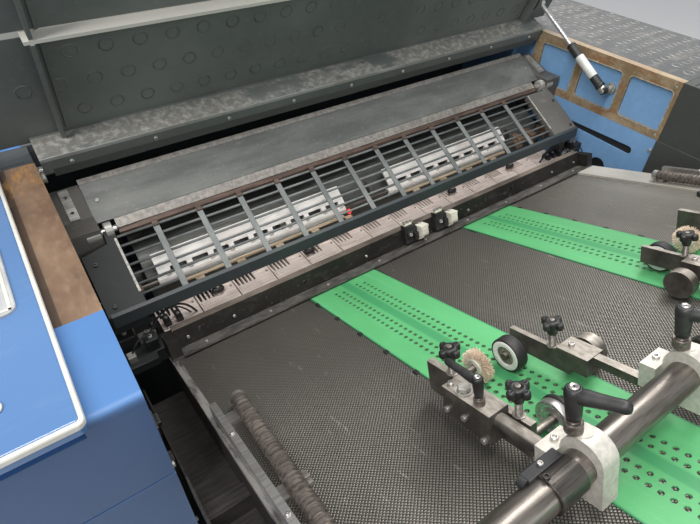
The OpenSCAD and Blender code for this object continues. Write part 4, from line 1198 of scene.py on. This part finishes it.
def corner_mechanism():
    """Small levers, blocks and formed pipes at both ends of the register zone."""
    metal, dark, pipes = bmesh.new(), bmesh.new(), bmesh.new()
    for side in (1, -1):

        def chunk(bm, low, high, bevel=1.2):
            x0, x1 = sorted((low[0] * side, high[0] * side))
            brick(bm, (x0, *low[1:]), (x1, *high[1:]), AT_LINE, bevel)

        def spot(x, y, z):
            return line_point(x * side, y, z)

        chunk(dark, (-655, 20, -30), (-600, 96, -12))
        chunk(dark, (-652, 60, -12), (-622, 92, 22))
        chunk(metal, (-640, 96, -12), (-618, 112, 26))
        chunk(metal, (-618, 66, -12), (-586, 78, 6))
        chunk(dark, (-612, 40, -12), (-590, 62, 14))
        chunk(metal, (-648, 30, -12), (-634, 46, 4))
        for place in ((-629, 104, 26), (-602, 72, 6), (-601, 51, 14), (-637, 76, 22)):
            cap_screw(metal, facing(spot(*place), UPWARD), 4.2)
        for x in (-585, -560, -537):
            chunk(dark, (x - 6, 72, -4), (x + 6, 96, 8), 1.5)
            cap_screw(metal, facing(spot(x, 84, 8), UPWARD), 3.0)
        for start, middle, end, count, radius in (
                ((-585, 84, 8), (-535, 62, 86), (-503, 80, -3), 22, 2.1),
                ((-600, 60, 10), (-548, 92, 60), (-513, 84, -3), 20, 1.6),
                ((-640, 40, 0), (-618, 44, 44), (-596, 52, 12), 16, 1.6)):
            tube(pipes, bent(spot(*start), spot(*middle), spot(*end), count), radius, 8)
    mesh_piece("corner_blocks", dark, "black")
    mesh_piece("corner_steel", metal, "knuckle")
    mesh_piece("oil_pipes", pipes, "rubber", smooth=True)


def guide_fittings():
    """End caps, saddles and screws of the side guides."""
    bright, dark, screws = bmesh.new(), bmesh.new(), []
    for side, base in ((-1, 0), (1, 4)):
        rod_x = side * 541
        for up in (240, 410, 580):
            screws.append((table_point(side * 575, up + 7, base + 4), TABLE_NORMAL))
            lip = TABLE @ Matrix.Translation(Vector((rod_x, -up, base + 4)) * MM)
            brick(dark, (-13, -6, -0.2), (13, 6, 6), lip, 1)
        near = facing(table_point(rod_x, 225, base + 16), DOWNHILL)
        lathe(bright, [(11.6, -4), (11.6, 5), (10.4, 6.6), (4.4, 6.8), (4.4, 10), (0, 10.4)], near, 28)
        for up in (300, 460, 620):
            screws.append((table_point(side * 577, up, base + 26), TABLE_NORMAL))
    mesh_piece("guide_rod_caps", bright, "bright")
    mesh_piece("guide_saddles", dark, "arm")
    fasteners("guide_screws", screws, 3.0, "bright")


def belt_clips():
    """Small dark hold-downs along the belts' outer edges."""
    bm = bmesh.new()
    for x in both_belts(-312):
        for k in range(16):
            up = 60 + k * 73
            brick(bm, (x - 3.4, -up - 5, -0.2), (x + 3.4, -up + 5, 2.4), TABLE, 0.7)
    mesh_piece("belt_edge_clips", bm, "grip")


def spring_fittings():
    """White sleeve, ferrules and foot nut of the gas spring, and the nuts on its stud."""
    eye_radius = 9 * MM
    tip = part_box("strut_rod")[1]
    along = Vector((0, tip.y - eye_radius - STRUT_FOOT.y, tip.z - eye_radius - STRUT_FOOT.z))
    place = facing(STRUT_FOOT, along)
    sleeve, dark, bright = bmesh.new(), bmesh.new(), bmesh.new()
    turned(sleeve, place, [(11.05, 46), (11.5, 46), (11.6, 47), (11.6, 112), (11.5, 113), (11.05, 113)],
           sides=36)
    turned(dark, place, [(11.0, 12), (12.2, 13.5), (12.2, 20), (11.0, 22)], sides=32)
    turned(dark, place, [(6.2, 147), (11.6, 147), (11.9, 148.5), (11.6, 151), (9.0, 154), (6.2, 154)],
           sides=32)
    turned(bright, place, [(9.0, 3), (9.6, 3), (10.4, 6), (10.4, 11), (9.0, 12)], sides=24)
    mesh_piece("strut_sleeve", sleeve, "sleeve", "strut_cylinder", True)
    mesh_piece("strut_ferrules", dark, "grip", "strut_cylinder", True)
    mesh_piece("strut_foot_nut", bright, "bright", "strut_cylinder", True)
    stud = bmesh.new()
    wall = crosswise(Vector((664 * MM, STRUT_FOOT.y, STRUT_FOOT.z)), -math.pi / 2)
    turned(stud, wall, [(4.3, 7), (9.0, 7), (9.0, 15), (8.0, 16.4), (4.3, 16.4)], sides=6)
    turned(stud, wall, [(4.3, 4.6), (13.4, 4.6), (13.4, 6.6), (12.6, 7.2), (4.3, 7.2)], sides=32)
    turned(stud, wall, [(1.2, 40.5), (5.8, 40.5), (5.8, 44), (4.6, 45), (1.2, 45)], sides=24)
    mesh_piece("strut_stud_nut", stud, "knuckle")


def wall_fittings():
    """Screws, openings, window rims, latch and hinge stub on the walls beside the register zone."""
    right, left = Vector((-1, 0, 0)), Vector((1, 0, 0))
    screws = [(line_point(WALL_X, y, z), right) for y, z in
              ((-230, 85), (-230, -300), (325, -300), (325, 85), (40, -300), (-120, 85), (180, 85))]
    screws += [(line_point(-WALL_X, y, z), left) for y, z in
               ((-230, 60), (-230, -300), (325, -300), (60, -300), (-230, -120), (325, 60))]
    fasteners("wall_screws", screws, 4.4, "knuckle")
    windows = [(line_point(WALL_X, y, z), right) for y in (-116, 288) for z in (127, 250)]
    fasteners("window_screws", windows, 3.2, "knuckle")
    skirt = bmesh.new()
    brick(skirt, (WALL_X - 5, -263, -30), (WALL_X + 0.4, -127, 117), AT_LINE, 1)
    mesh_piece("drive_nose_skirt", skirt, "cover_slate")
    wall_openings()
    window_rims()
    latch, top, cap = bmesh.new(), bmesh.new(), bmesh.new()
    cover = Matrix.Translation(line_point(-WALL_X, -150, 52))
    brick(latch, (-0.2, -18, -12), (5, 18, 12), cover, 2)
    brick(latch, (4, -6, -5), (11, 14, 5), cover, 2)
    mesh_piece("cover_latch", latch, "grip")
    brick(top, (-719.5, 301.6, 261.9), (-656.5, 372, 264.2), AT_LINE, 0.8)
    brick(top, (-706, 312, 264), (-670, 326, 264.9), AT_LINE, 0.3)
    mesh_piece("frame_top_plate", top, "slate")
    turned(cap, crosswise(line_point(-700, 296, 236)),
           [(2, 44), (9, 44), (10, 45.4), (10, 51), (9, 52), (2, 52)])
    mesh_piece("hinge_end_cap", cap, "knuckle")


def wall_openings():
    """Black backs just behind the long slot and the round hole below the windows: painted shade inside the
    openings.
    """
    gaps = bmesh.new()
    back = (WALL_X + 5.4, WALL_X + 7.4)
    sweep = [math.pi * k / 12 for k in range(13)]
    slot_shape = [(y + flip * r * math.sin(a), 60 + flip * r * math.cos(a))
                  for y, r, flip in ((130, 6.8, 1), (-66, 10.8, -1)) for a in sweep]
    outline_plate(gaps, PROFILE, slot_shape, *back)
    outline_plate(gaps, PROFILE, [(-2 + 22.8 * math.cos(a), -20 + 22.8 * math.sin(a))
                                  for a in (math.tau * k / 40 for k in range(40))], *back)
    # Painted shade: black sheets stand in for the shade deep inside the openings.
    mesh_piece("wall_opening_painted_shade", gaps, "black")


def window_rims():
    """Pale edge round each of the three windows, as painted highlight on the bevel."""
    rims = bmesh.new()
    height, width, tall, radius, rim = 187, 57.5, 52, 9, 2.2
    low, high = WALL_X - 0.8, WALL_X + 0.6
    for middle in (-59, 78, 215):
        inner, outer = (rounded_outline(middle - width - grow, middle + width + grow,
                                        height - tall - grow, height + tall + grow, radius + grow)
                        for grow in (0, rim))
        stacked(rims, PROFILE, [(inner, high), (inner, low), (outer, low + 0.5), (outer, high)], True)
    mesh_piece("window_rims", rims, "rim")


# Where the doors of each housing begin and end behind the register line
DOORS = {"operator": ((-240, 175), (205, 400), (420, 620)), "drive": ((-240, 20), (60, 320), (360, 620))}


def cover_panels():
    """Raised doors, vents, handles and screws on the outer faces of both housings."""
    thick = 5
    for side, name in ((-1, "operator"), (1, "drive")):
        face = side * HOUSING_X
        panels, louvres, handles, screws = bmesh.new(), bmesh.new(), bmesh.new(), []

        def plate(bm, y0, y1, z0, z1, deep, bevel, sink=0.5):
            x0, x1 = sorted((face - side * sink, face + side * deep))
            brick(bm, (x0, y0, z0), (x1, y1, z1), AT_LINE, bevel)

        for y0, y1 in DOORS[name]:
            plate(panels, y0, y1, -700, -150, thick, 4)
            plate(panels, y0, y1, -130, 70, thick, 4)
            middle = (y0 + y1) / 2
            for k in range(9):
                plate(louvres, middle - 60, middle + 60, -640 + k * 18, -632 + k * 18, 8, 2)
            plate(handles, middle - 34, middle + 34, -205, -180, 8.5, 3)
            plate(handles, middle - 24, middle + 24, -198, -187, 9.4, 2)
            screws += [(line_point(face + side * thick, y, z), Vector((side, 0, 0)))
                       for y in (y0 + 14, y1 - 14) for z in (-686, -164, -116, 56)]
        mesh_piece(name + "_cover_doors", panels, "blue_painted_shade")
        mesh_piece(name + "_vents", louvres, "blue_painted_shade")
        mesh_piece(name + "_door_grips", handles, "grip")
        fasteners(name + "_door_screws", screws, 4.0, "knuckle")


def frame_fittings():
    """Bolts of the bulkhead, beams and stand, and screws of the shaft's plates."""
    bolts = [(line_point(x, 580, z), Vector((0, 1, 0)))
             for x in (-630, -220, 220, 630) for z in (-650, -240, 180)]
    for side in (-1, 1):
        bolts += [(line_point(side * 640, y, -570), UPWARD) for y in (-175, -115, 485, 545)]
        bolts += [(line_point(side * x, y, -788), UPWARD) for x in (528.5, 602.9) for y in (-1154, -1064)]
    fasteners("frame_bolts", bolts, 8, "dark", head=hex_bolt)
    screws = [(table_point(side * 584.5, up, 24), Vector((-side, 0, 0)))
              for side in (-1, 1) for up in (SHAFT_UP - 18, SHAFT_UP + 18)]
    fasteners("shaft_plate_screws", screws, 5, "bright")


def rounded_outline(x0, x1, y0, y1, radius, steps=6):
    """Corner-rounded rectangle, counter-clockwise, in millimetres."""
    return [(cx + radius * math.cos(a), cy + radius * math.sin(a))
            for cx, cy, start in ((x1 - radius, y1 - radius, 0), (x0 + radius, y1 - radius, 90),
                                  (x0 + radius, y0 + radius, 180), (x1 - radius, y0 + radius, 270))
            for a in (math.radians(start + 90 * k / steps) for k in range(steps + 1))]


def stacked(bm, place, loops, closed=False):
    """A skin over loops of (points, height); closed joins the last loop to the first."""
    rings = [[bm.verts.new(place @ (Vector((*point, height)) * MM)) for point in points]
             for points, height in loops]
    pairs = list(zip(rings, rings[1:])) + ([(rings[-1], rings[0])] if closed else [])
    for low, high in pairs:
        for k in range(len(low)):
            n = (k + 1) % len(low)
            bm.faces.new((low[k], low[n], high[n], high[k]))
    if not closed:
        bm.faces.new(rings[0][::-1])
        bm.faces.new(rings[-1])


def console_lid():
    """Blue lid with a narrow pale trim round its edge, and the grey panel let into it."""
    lid, trim, panel = bmesh.new(), bmesh.new(), bmesh.new()

    def edge(inset, radius=9):
        return rounded_outline(-980 + inset, -712 - inset, -276 + inset, 300 - inset, max(radius - inset, 3))

    body = rounded_outline(-976, -721, -258, 296, 6)
    stacked(lid, AT_LINE, [(body, 247.5), (body, 267.5)])
    stacked(lid, AT_LINE, [(edge(2.4), 267), (edge(2.4), 279), (edge(5), 279), (edge(5), 286.6),
                           (edge(5.6), 287.6), (edge(6.6), 288)])
    stacked(trim, AT_LINE, [(edge(0.6), 278), (edge(0), 279), (edge(0), 284.8), (edge(0.9), 286.4),
                            (edge(2.4), 287), (edge(5.2), 286.8), (edge(5.2), 278)], True)
    shape = rounded_outline(-880, -739, -86, 62, 14)
    stacked(panel, AT_LINE,
            [(shape, 287.6), (shape, 291.0), (rounded_outline(-879, -740, -85, 61, 13), 292.0)])
    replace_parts(mesh_piece("console_lid_top", lid, "lid"), "console_lid")
    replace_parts(mesh_piece("console_lid_trim", trim, "trim"), "console_trim")
    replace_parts(mesh_piece("console_key_panel", panel, "panel"), "console_panel")


def console_fittings():
    """Blank keys and a rim on the console's panel, and the lid's button."""
    top = Matrix.Translation(line_point(-809.5, -12, 292))
    keys, rim = bmesh.new(), bmesh.new()
    for i in range(3):
        for j in range(2):
            x, y = -34 + i * 34, -22 + j * 44
            brick(keys, (x - 12, y - 14, -0.2), (x + 12, y + 14, 1.6), top, 1.6)
    for x0, x1, y0, y1 in ((-66, 66, -70, -66), (-66, 66, 66, 70), (-66, -62, -70, 70), (62, 66, -70, 70)):
        brick(rim, (x0, y0, -0.2), (x1, y1, 1.0), top, 0.5)
    mesh_piece("console_keys", keys, "panel")
    mesh_piece("console_rim", rim, "trim")
    tab = bmesh.new()
    place = Matrix.Translation(line_point(-784, -214, 289))
    turned(tab, place, [(1, -SUNK), (9, -SUNK), (9, 1.8), (8, 2.6), (1, 2.6)], sides=32)
    mesh_piece("lid_button", tab, "trim", smooth=True)


def footboard_fittings():
    """Screws and skirt of the lip, blocks at its ends, and a seam beside each stiffener."""
    skirt, ends, seams = bmesh.new(), bmesh.new(), bmesh.new()
    under = BOARD.to_3x3() @ -UPWARD
    points = [(BOARD @ (Vector((x, -35, -24)) * MM), under) for x in range(-600, 601, 150)]
    fasteners("lip_screws", points, 3.6, "knuckle", "footboard")
    brick(skirt, (-633, -26, -24.2), (633, -6, -21.4), BOARD, 0.8)
    mesh_piece("lip_skirt", skirt, "cover_slate", "footboard")
    for side in (-1, 1):
        end, seam = side * 638, side * 584
        brick(ends, (end - 6, -53, -20), (end + 6, -20, 4), BOARD, 1.2)
        brick(seams, (seam - 2.4, -424, 27.4), (seam + 2.4, -60, 30.6), BOARD, 0.8)
    mesh_piece("lip_end_blocks", ends, "tan", "footboard")
    mesh_piece("footboard_seams", seams, "footboard", "footboard")


def photo_camera():
    """Camera solved from the photo's three vanishing points."""
    data = bpy.data.cameras.new("photo_camera")
    data.sensor_width = 36
    data.lens = 26.74
    data.clip_start = 0.02
    made = bpy.data.objects.new("photo_camera", data)
    right = Vector((0.8197, -0.5723, 0.0222))
    up = Vector((0.3700, 0.5586, 0.7423))
    back = Vector((-0.4373, -0.6003, 0.6696))
    turn = Matrix((right, up, back)).transposed().to_4x4()
    made.matrix_world = Matrix.Translation(line_point(-665, -642, 749)) @ turn
    bpy.context.scene.collection.objects.link(made)
    bpy.context.scene.camera = made


def area_lamp(name, place, aim, size, power, tint=(1, 1, 1)):
    """A rectangular lamp that shines from a place towards a point, in metres and watts."""
    data = bpy.data.lights.new(name, "AREA")
    data.shape = "RECTANGLE"
    data.size, data.size_y = size
    data.energy = power
    data.color = tint
    made = bpy.data.objects.new(name, data)
    made.matrix_world = facing(Vector(place), Vector(place) - Vector(aim))
    bpy.context.scene.collection.objects.link(made)


def hall_light():
    """Two rows of ceiling lamps, a soft fill from the feeder's end and a pale surround."""
    area_lamp("ceiling_left", (-1.6, -0.4, 3.6), (-0.2, 0, 0.9), (0.5, 3.2), 92, (1, 0.985, 0.96))
    area_lamp("ceiling_right", (1.3, 0.9, 3.5), (0.1, 0, 0.9), (0.5, 3.0), 84, (1, 0.985, 0.96))
    area_lamp("feeder_fill", (0.2, -3.4, 2.6), (0, 0, 0.8), (2.6, 1.4), 30, (0.96, 0.98, 1))
    world = bpy.data.worlds.new("hall")
    bpy.context.scene.world = world
    world.use_nodes = True
    tree = world.node_tree
    soft = tree.nodes["Background"]
    soft.inputs["Color"].default_value = (0.93, 0.95, 1.0, 1)
    soft.inputs["Strength"].default_value = 0.55
    white = tree.nodes.new("ShaderNodeBackground")
    white.inputs["Color"].default_value = (1, 1, 1, 1)
    white.inputs["Strength"].default_value = 1.0
    path = tree.nodes.new("ShaderNodeLightPath")
    blend = tree.nodes.new("ShaderNodeMixShader")
    tree.links.new(path.outputs["Is Camera Ray"], blend.inputs[0])
    tree.links.new(soft.outputs[0], blend.inputs[1])
    tree.links.new(white.outputs[0], blend.inputs[2])
    tree.links.new(blend.outputs[0], tree.nodes["World Output"].inputs["Surface"])


def pale_floor():
    """A plain floor for the render, which isn't part of the press."""
    bm = bmesh.new()
    bmesh.ops.create_grid(bm, x_segments=1, y_segments=1, size=14)
    mesh = bpy.data.meshes.new("pale_floor")
    bm.to_mesh(mesh)
    bm.free()
    made = bpy.data.objects.new("pale_floor", mesh)
    bpy.context.scene.collection.objects.link(made)
    f = Finish("floor_finish")
    mesh.materials.append(f.surface(f.mix(f.noise(1.2, 2), (0.74, 0.74, 0.73), (0.78, 0.78, 0.77)), 0.7))


photo_camera()
hall_light()
pale_floor()
dress_nodes()
hold_down_wheels()
star_knobs()
clamp_levers()
arm_fittings()
belt_clips()
guide_fittings()
register_plates()
lay_adjusters()
rail_screws()
gripper_bars()
sensor_fittings()
corner_mechanism()
grille()
hood_fittings()
footboard_rings()
footboard_fittings()
spring_fittings()
tread_rings()
wall_fittings()
cover_panels()
frame_fittings()
console_lid()
console_fittings()

bpy.context.scene.view_settings.view_transform = "Standard"
